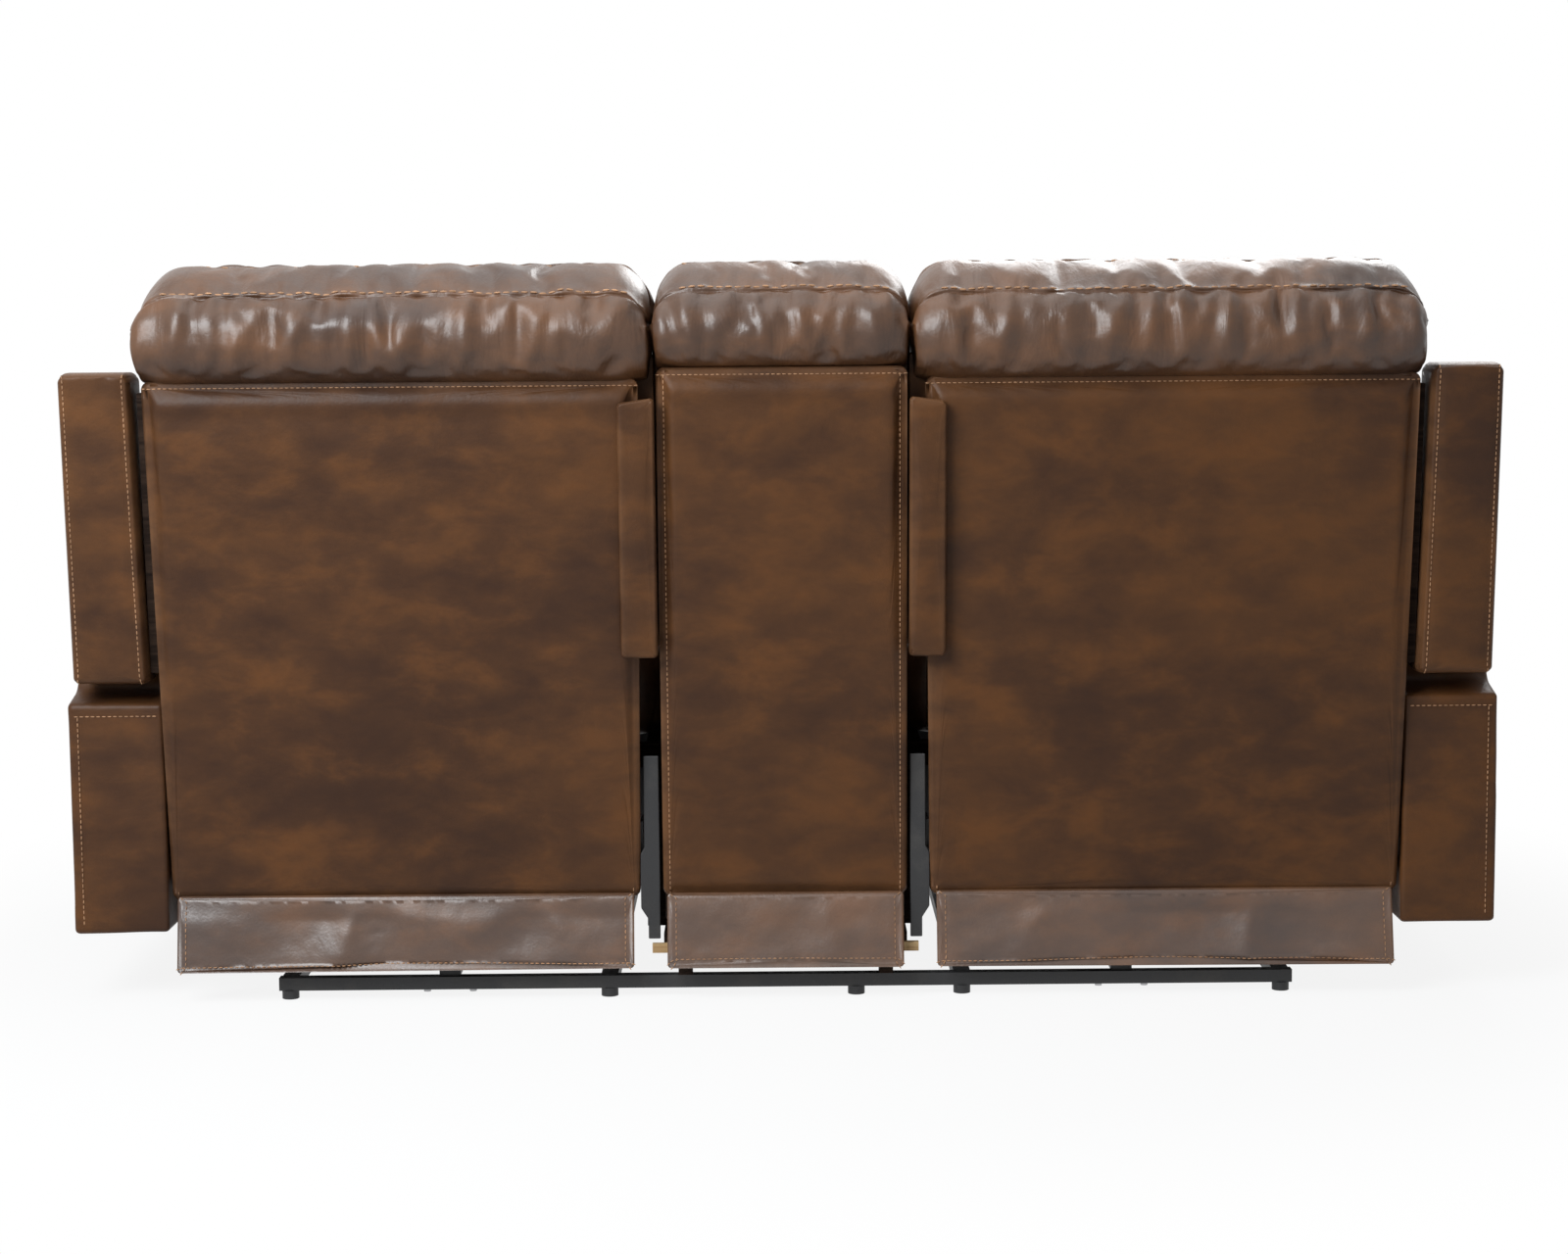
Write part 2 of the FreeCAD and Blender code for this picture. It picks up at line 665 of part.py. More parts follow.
# Reclining backs
def back(side, name):
    """A leaning frame with its panel, cushions, wings, brackets and flap."""
    near, far = span(side, bay_inner, bay_outer)
    stile = back_stile_width
    members = []
    for edge in (near + 8, far - 8 - stile):
        members.append(leaning_board((edge, edge + stile), back_bottom + 12, back_top - 10,
                                     frame_front_depth, panel_thickness))
    for low in (back_bottom + 25, cushion_top, back_top - 20 - back_rail_height):
        members.append(leaning_board((near + 8 + stile, far - 8 - stile), low, low + back_rail_height,
                                     frame_front_depth, panel_thickness))
    arm_low = wing_arm_bottom
    members.append(leaning_board(span(side, bay_outer - 8, wing_inner_edge), arm_low, arm_low + wing_arm_height,
                                 frame_front_depth, panel_thickness))
    keep(group(members), f"{name}_back_frame")
    keep(leaning_board((near, far), back_bottom, back_top, panel_thickness, zero), f"{name}_back_panel")
    roll_inner = console_half_width + 4 + roll_gap
    keep(leaning_board(span(side, roll_inner, bay_outer), cushion_top + 2, back_top,
                       cushion_front_depth, frame_front_depth, back_cushion_round), f"{name}_back_cushion")
    roll_near, roll_far = span(side, roll_inner, roll_outer)
    head_roll(roll_near, roll_far, back_top, f"{name}_head_cushion")
    wing_near, wing_far = span(side, wing_inner_edge, wing_outer_edge)
    wing = [(wing_rear_bottom - wing_depth, wing_bottom), (wing_rear_bottom, wing_bottom),
            (wing_rear_top, wing_top), (wing_rear_top - wing_depth, wing_top)]
    keep(prism((wing_near, wing_far), wing, wing_round), f"{name}_outer_wing")
    inner_range = span(side, console_half_width + inner_wing_gap, bay_inner + inner_wing_overlap)
    keep(leaning_board(inner_range, inner_wing_bottom, inner_wing_top, zero, -inner_wing_depth),
         f"{name}_inner_wing")
    flap_near, flap_far = span(side, bay_inner + flap_side_margin, bay_outer - flap_side_margin)
    flap(flap_near, flap_far, f"{name}_back_flap", back_bottom, zero)
    recline_brackets(side, name)


def recline_brackets(side, name):
    """Steel brackets from the back frame down to the recline pivots, with their pivot pins."""
    thick = plate_thickness
    members = []
    frame_low = back_bottom + 25
    for inward, plate_face in ((1, inner_plate), (-1, outer_plate)):
        edges = sorted((plate_face + thick * 0.5 * inward, plate_face + thick * 1.5 * inward), key=number)
        x_range = span(side, *edges)
        ear = pivot_radius * 3
        front = back_line(frame_low, frame_front_depth)
        outline = [(pivot_rear - ear, pivot_height - ear), (front, frame_low), (front, frame_low + 8),
                   (back_line(pivot_height - ear, frame_front_depth), pivot_height - ear),
                   (pivot_rear + ear, pivot_height + ear), (pivot_rear - ear, pivot_height + ear)]
        members.append(prism(x_range, outline))
        pin = sorted((plate_face - thick * inward, plate_face + thick * 0.5 * inward), key=number)
        pin_range = span(side, *pin)
        members.append(rod("X", (pin_range[0], pivot_rear, pivot_height),
                           pin_range[1] - pin_range[0], pivot_radius))
    for x_range in (span(side, bay_inner - thick, bay_inner),):
        members.append(leaning_board(x_range, back_bottom + 4, pivot_height - 20,
                                     frame_front_depth, panel_thickness))
    keep(group(members), f"{name}_back_brackets")


# Switches
def switch(side, name):
    """An open and a close button in the arm's inner side; returns the plate that guides them."""
    near, far = span(side, arm_inner - switch_depth, arm_inner)
    plate = block((near, switch_front, switch_bottom), (far, switch_front + switch_length, switch_bottom + switch_height))
    height = switch_bottom + switch_height / 2
    clear = running_clearance
    places = (switch_front + switch_length * 0.25, switch_front + switch_length * 0.75)
    holes = [rod("X", (near - switch_depth, y, height), switch_depth * 3, button_radius + clear) for y in places]
    outer_face = arm_inner - switch_depth - button_proud
    button_near, button_far = span(side, outer_face, outer_face + button_height)
    for y, label in zip(places, ("open", "close")):
        keep(rod("X", (button_near, y, height), button_far - button_near, button_radius),
             f"{name}_{label}_button")
    return cut(plate, holes)


# The whole sofa
base_frame()
base_fasteners()
console_box()
console_deck()
console_back()
springs()
actuators = []
switch_plates = []
for side, name in ((1, "left"), (-1, "right")):
    arm(side, name)
    seat(side, name)
    mechanism_plates(side, name)
    footrest(side, name)
    actuators += drive(side, name)
    back(side, name)
    switch_plates.append(switch(side, name))
keep(group(actuators), "actuators")
keep(group(switch_plates), "switch_plates")
document.recompute()

for item in document.Objects:
    if "Invalid" in item.State or "Error" in item.State:
        raise RuntimeError(f"{item.Label} failed to build")
os.makedirs("parts", exist_ok=True)
for piece in pieces:
    if piece.Shape.isNull() or not piece.Shape.isValid():
        raise RuntimeError(f"{piece.Label} has no valid shape")
for piece in pieces:
    piece.Shape.exportStep(f"parts/{piece.Label}.step")
print(len(pieces), "pieces written")
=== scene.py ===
import json
import math
import bpy
import numpy as np
from mathutils import Matrix, Vector


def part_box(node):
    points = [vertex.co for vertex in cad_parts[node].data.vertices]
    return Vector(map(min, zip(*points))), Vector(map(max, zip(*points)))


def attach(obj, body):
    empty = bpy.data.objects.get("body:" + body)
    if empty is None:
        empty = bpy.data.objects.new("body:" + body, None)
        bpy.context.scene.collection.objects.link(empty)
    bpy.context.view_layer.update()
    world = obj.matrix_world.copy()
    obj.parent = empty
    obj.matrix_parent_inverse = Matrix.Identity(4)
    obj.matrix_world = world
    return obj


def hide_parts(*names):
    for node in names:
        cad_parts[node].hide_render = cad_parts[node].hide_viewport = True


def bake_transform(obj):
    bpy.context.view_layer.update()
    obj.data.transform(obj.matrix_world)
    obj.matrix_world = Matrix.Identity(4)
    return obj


bl_info = {
    "name": "Reclining Sofa",
    "version": (1, 0, 0),
    "blender": (4, 5, 0),
    "location": "View3D > Sidebar > Sofa",
    "description": "Dresses a two-seat reclining sofa with a console in brown leather",
    "category": "Object",
}

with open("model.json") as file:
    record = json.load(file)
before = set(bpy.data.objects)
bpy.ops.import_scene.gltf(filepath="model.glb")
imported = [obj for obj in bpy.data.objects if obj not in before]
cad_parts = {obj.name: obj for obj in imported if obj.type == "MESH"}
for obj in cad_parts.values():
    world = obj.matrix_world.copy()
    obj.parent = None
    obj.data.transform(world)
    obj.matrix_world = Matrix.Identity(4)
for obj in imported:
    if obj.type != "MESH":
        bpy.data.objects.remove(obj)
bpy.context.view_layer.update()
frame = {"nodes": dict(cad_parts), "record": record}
SIDES = ((1, "left"), (-1, "right"))


# Sizes and colours that a user would change
def colour_field(name, description, default):
    return bpy.props.FloatVectorProperty(
        name=name, description=description, default=default, size=3, min=0, max=1, subtype="COLOR")


def length_field(name, description, default, low, high):
    return bpy.props.FloatProperty(
        name=name, description=description, default=default, min=low, max=high, unit="LENGTH")


def share_field(name, description, default, low, high):
    return bpy.props.FloatProperty(
        name=name, description=description, default=default, min=low, max=high, subtype="FACTOR")


def angle_field(name, description, degrees):
    return bpy.props.FloatProperty(
        name=name, description=description, default=math.radians(degrees), unit="ROTATION")


def number_field(name, description, default, low=0, high=1000):
    return bpy.props.FloatProperty(name=name, description=description, default=default, min=low, max=high)


class SofaLeather(bpy.types.PropertyGroup):
    base: colour_field("Leather", "Main brown of the leather", (0.080, 0.033, 0.0120))
    dark: colour_field("Dark patches", "Dark grey-brown patches", (0.038, 0.0165, 0.0085))
    warm: colour_field(
        "Warm patches", "Orange-brown patches where the leather is rubbed", (0.128, 0.048, 0.0130))
    thread: colour_field("Thread", "Colour of the stitching", (0.46, 0.25, 0.13))
    roughness: share_field("Roughness", "How dull the leather is", 0.40, 0.05, 1)
    wrinkle: length_field("Wrinkles", "Depth of the fine wrinkles", 0.0035, 0, 0.02)


class SofaPadding(bpy.types.PropertyGroup):
    step: length_field("Mesh step", "Distance between the mesh lines of a head roll", 0.0085, 0.003, 0.03)
    frames: bpy.props.IntProperty(
        name="Puff steps", description="How many steps the padding swells for", default=20, min=1, max=60)
    pressure: number_field("Pressure", "How hard the filling pushes", 4.0, 0, 20)
    looseness: share_field("Looseness", "Spare leather on a head roll, as a share of its size", 0.035, 0, 0.3)


class SofaStitching(bpy.types.PropertyGroup):
    pitch: length_field("Pitch", "Distance from one fine stitch to the next", 0.0075, 0.003, 0.03)
    length: length_field("Stitch", "Length of one fine stitch", 0.0056, 0.002, 0.02)
    radius: length_field("Thread radius", "Half the thickness of the fine thread", 0.0008, 0.0003, 0.003)
    bold_pitch: length_field("Bold pitch", "Distance from one bold stitch to the next", 0.0125, 0.003, 0.03)
    bold_length: length_field("Bold stitch", "Length of one bold stitch", 0.0098, 0.002, 0.02)
    bold_radius: length_field(
        "Bold thread radius", "Half the thickness of the bold thread", 0.0014, 0.0003, 0.003)


class SofaStage(bpy.types.PropertyGroup):
    camera_place: bpy.props.FloatVectorProperty(
        name="Camera", description="Where the camera stands", subtype="TRANSLATION", size=3, unit="LENGTH",
        default=(0.0188, 4.5244, 0.9848))
    pitch: angle_field("Pitch", "How far the camera looks down", 6.363)
    yaw: angle_field("Yaw", "How far the camera turns to the side", -0.2775)
    roll: angle_field("Roll", "How far the camera leans", -0.4477)
    lens: number_field("Lens", "Focal length in millimetres", 68.1, 10, 300)
    key: number_field("Top light", "Power of the broad light above the sofa in watts", 24)
    rear: number_field("Rear light", "Power of the light above and behind the sofa in watts", 113)
    front: number_field("Front light", "Power of the light in front of the sofa in watts", 60)
    world: number_field("Room light", "Strength of the even light from all round", 0.21)


# Node helpers
class Value:
    """A number on a node's socket that can be used in sums."""

    def __init__(self, nodes, socket):
        self.nodes = nodes
        self.socket = socket

    def math(self, operation, first, second):
        made = self.nodes.node("ShaderNodeMath", {"operation": operation}, {0: first, 1: second})
        return Value(self.nodes, made.outputs[0])

    def __add__(self, other):
        return self.math("ADD", self, other)

    def __radd__(self, other):
        return self.math("ADD", other, self)

    def __mul__(self, other):
        return self.math("MULTIPLY", self, other)


class Nodes:
    """A node tree whose nodes are made, set and joined by one method."""

    def __init__(self, tree):
        self.tree = tree
        tree.nodes.clear()

    def node(self, kind, settings=None, inputs=None):
        made = self.tree.nodes.new(kind)
        for key, entry in (settings or {}).items():
            setattr(made, key, entry)
        for key, entry in (inputs or {}).items():
            self.feed(made.inputs[key], entry)
        return made

    def feed(self, socket, entry):
        if isinstance(entry, Value):
            entry = entry.socket
        if isinstance(entry, bpy.types.NodeSocket):
            self.tree.links.new(entry, socket)
        elif isinstance(entry, (tuple, list)) and socket.type == "RGBA" and len(entry) == 3:
            socket.default_value = (*entry, 1)
        else:
            socket.default_value = entry

    def seen(self):
        """1 for rays from the camera, off a shiny surface or through glass, and 0 for other rays."""
        rays = self.node("ShaderNodeLightPath").outputs
        total = Value(self, rays["Is Camera Ray"]) + Value(self, rays["Is Glossy Ray"])
        total = total + Value(self, rays["Is Transmission Ray"])
        return total.math("MINIMUM", total, 1.0)


class Shader(Nodes):
    """A material with one principled surface."""

    def __init__(self, name, **settings):
        self.material = bpy.data.materials.new(name)
        self.material.use_nodes = True
        super().__init__(self.material.node_tree)
        self.surface = self.node("ShaderNodeBsdfPrincipled", {}, settings)
        self.output = self.node("ShaderNodeOutputMaterial", {}, {"Surface": self.surface.outputs[0]})
        self.coordinates = self.node("ShaderNodeTexCoord").outputs["Object"]

    def stretched(self, x, y, z):
        return self.node("ShaderNodeMapping", {}, {"Vector": self.coordinates, "Scale": (x, y, z)}).outputs[0]

    def noise(self, scale, detail, roughness=0.5, distortion=0.0, vector=None):
        made = self.node("ShaderNodeTexNoise", {}, {
            "Vector": vector or self.coordinates, "Scale": scale, "Detail": detail,
            "Roughness": roughness, "Distortion": distortion})
        return Value(self, made.outputs["Fac"])

    def remap(self, value, low, high, new_low=0.0, new_high=1.0):
        made = self.node("ShaderNodeMapRange", {"interpolation_type": "SMOOTHSTEP"}, {
            "Value": value, "From Min": low, "From Max": high, "To Min": new_low, "To Max": new_high})
        return Value(self, made.outputs[0])

    def mix(self, factor, first, second):
        made = self.node("ShaderNodeMix", {"data_type": "RGBA"}, {"Factor": factor, 6: first, 7: second})
        return made.outputs[2]

    def finish(self, colour, roughness, height, depth):
        bump = self.node("ShaderNodeBump", {}, {"Height": height, "Distance": depth, "Strength": 1.0})
        for label, entry in (("Base Color", colour), ("Roughness", roughness), ("Normal", bump.outputs[0])):
            self.feed(self.surface.inputs[label], entry)
        return self.material


# Materials
def material(name, maker):
    """The material of a name, made once."""
    found = bpy.data.materials.get(name)
    return found if found is not None else maker(name)


def leather(name):
    """Mottled brown leather with rubbed patches, pores and fine creases."""
    look = bpy.context.scene.sofa_leather
    gloss, shine, coat, crease, depth = {
        "roll_hide": (-0.04, 0.40, 0.34, (26, 9, 8), 1.0),
        "panel_hide": (0.03, 0.14, 0.06, (7, 7, 9), 0.55),
        "flap_hide": (-0.02, 0.55, 0.60, (9, 9, 9), 0.7),
        "seat_hide": (0.02, 0.35, 0.12, (10, 10, 10), 0.9),
    }[name]
    worn_colour = (0.20, 0.105, 0.055)
    shader = Shader(name, **{"Specular IOR Level": shine, "Coat Weight": coat, "Coat Roughness": 0.46})
    broad = shader.noise(3.4, 2, 0.5, 0.3, shader.stretched(1.0, 1.0, 1.5))
    patches = shader.noise(13.0, 4, 0.6, 0.2, shader.stretched(0.75, 1.0, 1.35))
    mottle = broad * 0.45 + patches * 0.55
    rubbed = shader.remap(patches * 0.8 + broad * 0.2, 0.46, 0.76, 0.0, 0.65)
    colour = shader.mix(shader.remap(mottle, 0.30, 0.62), tuple(look.dark), tuple(look.base))
    colour = shader.mix(rubbed, colour, tuple(look.warm))
    edges = Value(shader, shader.node("ShaderNodeAttribute", {"attribute_name": "wear"}).outputs["Fac"])
    wear = edges * shader.remap(patches, 0.35, 0.6, 0.3, 1.0)
    colour = shader.mix(wear * 0.35, colour, worn_colour)
    pebbles = shader.noise(260.0, 1, 0.5)
    creases = shader.noise(1.0, 3, 0.6, 0.7, shader.stretched(*crease))
    height = creases * (look.wrinkle * 1000 * depth) + pebbles * 0.30
    dull = look.roughness + gloss
    dullness = shader.remap(patches * 0.7 + pebbles * 0.3, 0.3, 0.7, dull - 0.05, dull + 0.12)
    return shader.finish(colour, dullness, height, 0.001)


def thread(name):
    """Waxed tan thread."""
    light = tuple(bpy.context.scene.sofa_leather.thread)
    dark = tuple(0.6 * part for part in light)
    shader = Shader(name)
    tone = shader.remap(shader.noise(30.0, 2), 0.3, 0.7)
    twist = shader.noise(900.0, 2)
    return shader.finish(shader.mix(tone, dark, light), 0.55 + twist * 0.2, twist, 0.0004)


def painted_steel(name):
    """Black powder coat with a fine texture and a little dust."""
    shader = Shader(name)
    dust = shader.noise(14.0, 5, 0.6)
    grit = shader.noise(700.0, 2)
    dusty = shader.remap(dust, 0.45, 0.75, 0.0, 0.35)
    colour = shader.mix(dusty, (0.012, 0.012, 0.013), (0.075, 0.068, 0.06))
    return shader.finish(colour, 0.36 + dust * 0.3, grit, 0.0003)


def bare_steel(name):
    """Zinc-plated or spring steel with drawn streaks."""
    shader = Shader(name, Metallic=1.0)
    streaks = shader.noise(1.0, 3, 0.5, 0.0, shader.stretched(40, 400, 400))
    colour = shader.mix(shader.noise(35.0, 4), (0.30, 0.30, 0.31), (0.52, 0.52, 0.53))
    return shader.finish(colour, 0.28 + streaks * 0.25, streaks, 0.0002)


def moulded_plastic(name):
    """Black plastic with a fine moulded grain."""
    shader = Shader(name)
    grain = shader.noise(1200.0, 2)
    scuffs = shader.noise(22.0, 5, 0.7)
    scuffed = shader.remap(scuffs, 0.5, 0.75, 0.0, 0.4)
    colour = shader.mix(scuffed, (0.014, 0.014, 0.015), (0.05, 0.048, 0.046))
    return shader.finish(colour, 0.42 + scuffs * 0.25, grain, 0.0002)


def timber(name):
    """Boards with long grain; pale for the cross rail and stained dark elsewhere."""
    light, dark, shine = {
        "pale_timber": ((0.52, 0.36, 0.18), (0.36, 0.22, 0.10), 0.35),
        "stained_boards": ((0.034, 0.021, 0.015), (0.014, 0.009, 0.007), 0.04),
    }[name]
    shader = Shader(name, **{"Specular IOR Level": shine})
    rings = shader.noise(1.0, 5, 0.6, 1.6, shader.stretched(3, 26, 60))
    pores = shader.noise(1.0, 2, 0.6, 0.0, shader.stretched(18, 300, 500))
    colour = shader.mix(shader.remap(rings, 0.35, 0.65), light, dark)
    colour = shader.mix(shader.remap(pores, 0.55, 0.8, 0.0, 0.5), colour, tuple(0.5 * part for part in dark))
    return shader.finish(colour, 0.68 + rings * 0.25, pores + rings * 0.5, 0.0004)


# Number helpers
def bell(distance, width):
    """1 at no distance, with a smooth fall to 0 beyond a width."""
    return np.exp(-(distance / width) ** 2)


def fade(distance, width):
    """1 at no distance, with a steep fall that levels out."""
    return np.exp(-distance / width)


def arched(places, length):
    """0 at both ends of a length and 1 in its middle."""
    return 1 - ((places - length / 2) / (length / 2)) ** 2


def inside(places, length):
    """Distance to the nearer end of a length."""
    return np.minimum(places, length - places)


def nearest(values, target):
    """Index of the value that is closest to a target."""
    return int(np.argmin(np.abs(values - target)))


def upright(a, b, low):
    """Points on an upright board for the noise."""
    return np.stack([a + low[0], 0 * a, b + low[2]], -1)


def on_grid(a, b):
    """Points on a pad's own grid for the noise."""
    return np.stack([a, b, 0 * a], -1)


def noise(points, scale, seed=0.0):
    """Smooth noise from -1 to 1 over an array of points; scale is a number or one per axis."""
    place = points * np.asarray(scale, float) + seed * 17.31
    cell = np.floor(place).astype(np.int64)
    share = place - cell
    share = share * share * (3 - 2 * share)
    mixers = (374761393, 668265263, 1442695041)

    def corner(shift):
        mixed = sum((cell[..., axis] + shift[axis]) * mixers[axis] for axis in range(3))
        mixed = (mixed ^ (mixed >> 13)) * 1274126177
        return ((mixed ^ (mixed >> 16)) & 0xFFFF) / 32767.5 - 1

    total = 0
    for dx in (0, 1):
        for dy in (0, 1):
            for dz in (0, 1):
                weight = np.abs(1 - dx - share[..., 0]) * np.abs(1 - dy - share[..., 1])
                total = total + corner((dx, dy, dz)) * weight * np.abs(1 - dz - share[..., 2])
    return total


def turbulence(points, scale, seed):
    """Three layers of noise, each finer and weaker."""
    total = 0
    for octave in range(3):
        total = total + noise(points, np.asarray(scale, float) * 2 ** octave, seed + octave) * 0.5 ** octave
    return total


# Mesh helpers
def vertex_values(mesh, kind="co"):
    """The positions of a mesh's vertices, or their normals."""
    flat = np.empty(len(mesh.vertices) * 3)
    mesh.vertices.foreach_get(kind, flat)
    return flat.reshape(-1, 3)


def set_points(piece, points):
    piece.data.vertices.foreach_set("co", np.asarray(points, float).ravel())
    piece.data.update()


def link(name, data):
    """A new object in the scene."""
    item = bpy.data.objects.new(name, data)
    bpy.context.scene.collection.objects.link(item)
    return item


def make_piece(name, vertices, faces, body, finish, wear=None):
    """A smooth mesh piece with its faces outwards, that rides on a body."""
    mesh = bpy.data.meshes.new(name)
    mesh.from_pydata([tuple(v) for v in vertices], [], [tuple(f) for f in faces])
    mesh.validate()
    mesh.update()
    mesh.polygons.foreach_set("use_smooth", [True] * len(mesh.polygons))
    layer = mesh.attributes.new("wear", "FLOAT", "POINT")
    values = np.zeros(len(mesh.vertices)) if wear is None else np.asarray(wear, float)
    layer.data.foreach_set("value", values)
    mesh.materials.append(finish)
    piece = link(name, mesh)
    if body is not None:
        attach(piece, body)
    mesh.calc_loop_triangles()
    corners = np.empty(len(mesh.loop_triangles) * 3, dtype=np.int32)
    mesh.loop_triangles.foreach_get("vertices", corners)
    triangles = vertex_values(mesh)[corners.reshape(-1, 3)]
    volume = np.einsum("ij,ij->i", triangles[:, 0], np.cross(triangles[:, 1], triangles[:, 2])).sum()
    if volume < 0:
        mesh.flip_normals()
    return piece


def ring_faces(index):
    """Faces between the closed rings of a grid of vertex numbers."""
    ahead = np.roll(index, -1, axis=1)
    return np.stack([index[:-1], index[1:], ahead[1:], ahead[:-1]], -1).reshape(-1, 4).tolist()


def smooth_more(piece):
    """A subdivision that stays on the piece."""
    modifier = piece.modifiers.new("Smooth", "SUBSURF")
    modifier.levels = 1
    modifier.render_levels = 1


def dress(piece, node):
    """Smooth a padded piece that stands for a CAD node."""
    smooth_more(piece)
    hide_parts(node)


def node_box(node):
    """Lowest and highest corner of a CAD node as arrays."""
    low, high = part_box(node)
    return np.array(low), np.array(high)


def leaning(low, high, thickness):
    """Y of a leaning board's middle at a height, from its box."""
    slope = (high[1] - low[1] - thickness) / (high[2] - low[2])

    def middle(z):
        return low[1] + thickness + (z - low[2]) * slope - thickness / 2
    return middle


def laid(low, axis, middle, facing=1, lean=0.0):
    """Where the points of a pad on a box lie, when it faces along an axis and may lean."""
    others = [index for index in range(3) if index != axis]

    def place(a, b, lift):
        point = np.empty(a.shape + (3,))
        point[..., others[0]] = low[others[0]] + a
        point[..., others[1]] = low[others[1]] + b
        point[..., axis] = middle + lean * b + facing * lift
        return point
    return place


def edge_spread(length, edge, step, power):
    """Positions along one side of a pad, and how full the pad is at each of them."""
    turns = np.linspace(0, math.pi / 2, 8)
    inward = edge * (1 - np.cos(turns) ** (2 / power))
    full = np.sin(turns) ** (2 / power)
    count = max(2, int(round((length - 2 * edge) / step)))
    middle = np.linspace(edge, length - edge, count + 1)[1:-1]
    places = np.concatenate([inward, middle, (length - inward)[::-1]])
    fullness = np.concatenate([full, np.ones(len(middle)), full[::-1]])
    return places, fullness


def round_corners(a, b, size, radius):
    """Pull the square corners of a grid into round ones."""
    from_a, from_b = inside(a, size[0]), inside(b, size[1])
    over_a = np.clip(radius - from_a, 0, None)
    over_b = np.clip(radius - from_b, 0, None)
    square = np.maximum(over_a, over_b)
    round_length = np.hypot(over_a, over_b)
    share = np.where(round_length > 0, square / np.maximum(round_length, 1e-9), 1)
    new_a = np.where(over_b > 0, radius - over_a * share, from_a)
    new_b = np.where(over_a > 0, radius - over_b * share, from_b)
    a = np.where(a <= size[0] / 2, new_a, size[0] - new_a)
    b = np.where(b <= size[1] / 2, new_b, size[1] - new_b)
    return a, b


def quilt(name, size, thickness, edge, place, body, finish, power, step, corner, relief,
          back_relief=None):
    """A padded closed form on a rectangle. place(a, b, lift) gives its points in space."""
    first, first_full = edge_spread(size[0], edge, step, power)
    second, second_full = edge_spread(size[1], edge, step, power)
    full = first_full[:, None] * second_full[None, :]
    a, b = round_corners(*np.meshgrid(first, second, indexing="ij"), size, corner)
    lift = thickness / 2 * full
    raised = lift + relief(a, b) * full
    sunk = lift + (back_relief(a, b) * full if back_relief is not None else 0)
    top = place(a, b, raised)
    bottom = place(a, b, -sunk)
    rows, columns = a.shape
    index = np.arange(rows * columns).reshape(rows, columns)
    under = index.copy()
    under[1:-1, 1:-1] = rows * columns + np.arange((rows - 2) * (columns - 2)).reshape(rows - 2, columns - 2)
    vertices = np.concatenate([top.reshape(-1, 3), bottom[1:-1, 1:-1].reshape(-1, 3)])
    faces = []
    for grid, turn in ((index, 1), (under, -1)):
        corners = np.stack([grid[:-1, :-1], grid[1:, :-1], grid[1:, 1:], grid[:-1, 1:]], -1).reshape(-1, 4)
        faces.append(corners[:, ::turn])
    near_edge = fade(np.minimum(inside(a, size[0]), inside(b, size[1])), edge * 0.6)
    wear = np.concatenate([near_edge.ravel(), near_edge[1:-1, 1:-1].ravel()])
    piece = make_piece(name, vertices, np.concatenate(faces), body, finish, wear)
    return piece, top, (a, b)


def puff(piece, held, looseness, reach):
    """Swell a closed piece like stuffed leather, with held points left in place."""
    scene = bpy.context.scene
    padding = scene.sofa_padding
    start = vertex_values(piece.data)
    grip = piece.vertex_groups.new(name="held")
    for weight in sorted(set(np.round(held[held > 0], 2))):
        grip.add([int(i) for i in np.flatnonzero(np.round(held, 2) == weight)], float(weight), "REPLACE")
    cloth = piece.modifiers.new("Puff", "CLOTH")
    cloth.settings.effector_weights.gravity = 0
    for key, entry in {
        "quality": 4, "mass": 0.3, "use_pressure": True, "uniform_pressure_force": padding.pressure,
        "shrink_min": -looseness, "tension_stiffness": 20, "compression_stiffness": 20, "shear_stiffness": 8,
        "bending_stiffness": 0.3, "air_damping": 3, "vertex_group_mass": "held", "pin_stiffness": 1,
    }.items():
        setattr(cloth.settings, key, entry)
    cloth.point_cache.frame_start = 1
    cloth.point_cache.frame_end = padding.frames
    for step in range(1, padding.frames + 1):
        scene.frame_set(step)
    shaped = piece.evaluated_get(bpy.context.evaluated_depsgraph_get())
    moved = np.nan_to_num(vertex_values(shaped.data) - start)
    piece.modifiers.remove(cloth)
    piece.vertex_groups.remove(grip)
    scene.frame_set(1)
    far = np.linalg.norm(moved, axis=1, keepdims=True)
    set_points(piece, start + moved * np.minimum(1, reach / np.maximum(far, 1e-9)))


# Seams
HEM = 0.013
REAR_LIFT = (0, 0.0009, 0)
seam_lines = {}


def add_seam(body, points, kind="fine", lift=(0, 0, 0)):
    """Remember a line of stitches on a body, through an array of points raised by a lift."""
    seam_lines.setdefault((body, kind), []).append(np.asarray(points, float) + np.asarray(lift))


def sew_sides(body, top, a, distances, first, last, lift=(0, 0, 0)):
    """Sew seams up a pad at distances across it, between two shares of its height."""
    for distance in distances:
        line = top[nearest(a[:, a.shape[1] // 2], distance)]
        count = len(line) - 1
        add_seam(body, line[int(first * count):int(last * count) + 1], lift=lift)


def column_at(b, distance):
    """Column of a pad's grid at a distance up it."""
    return nearest(b[len(b) // 2], distance)


# Rear panels
PANEL_THICKNESS = 0.025


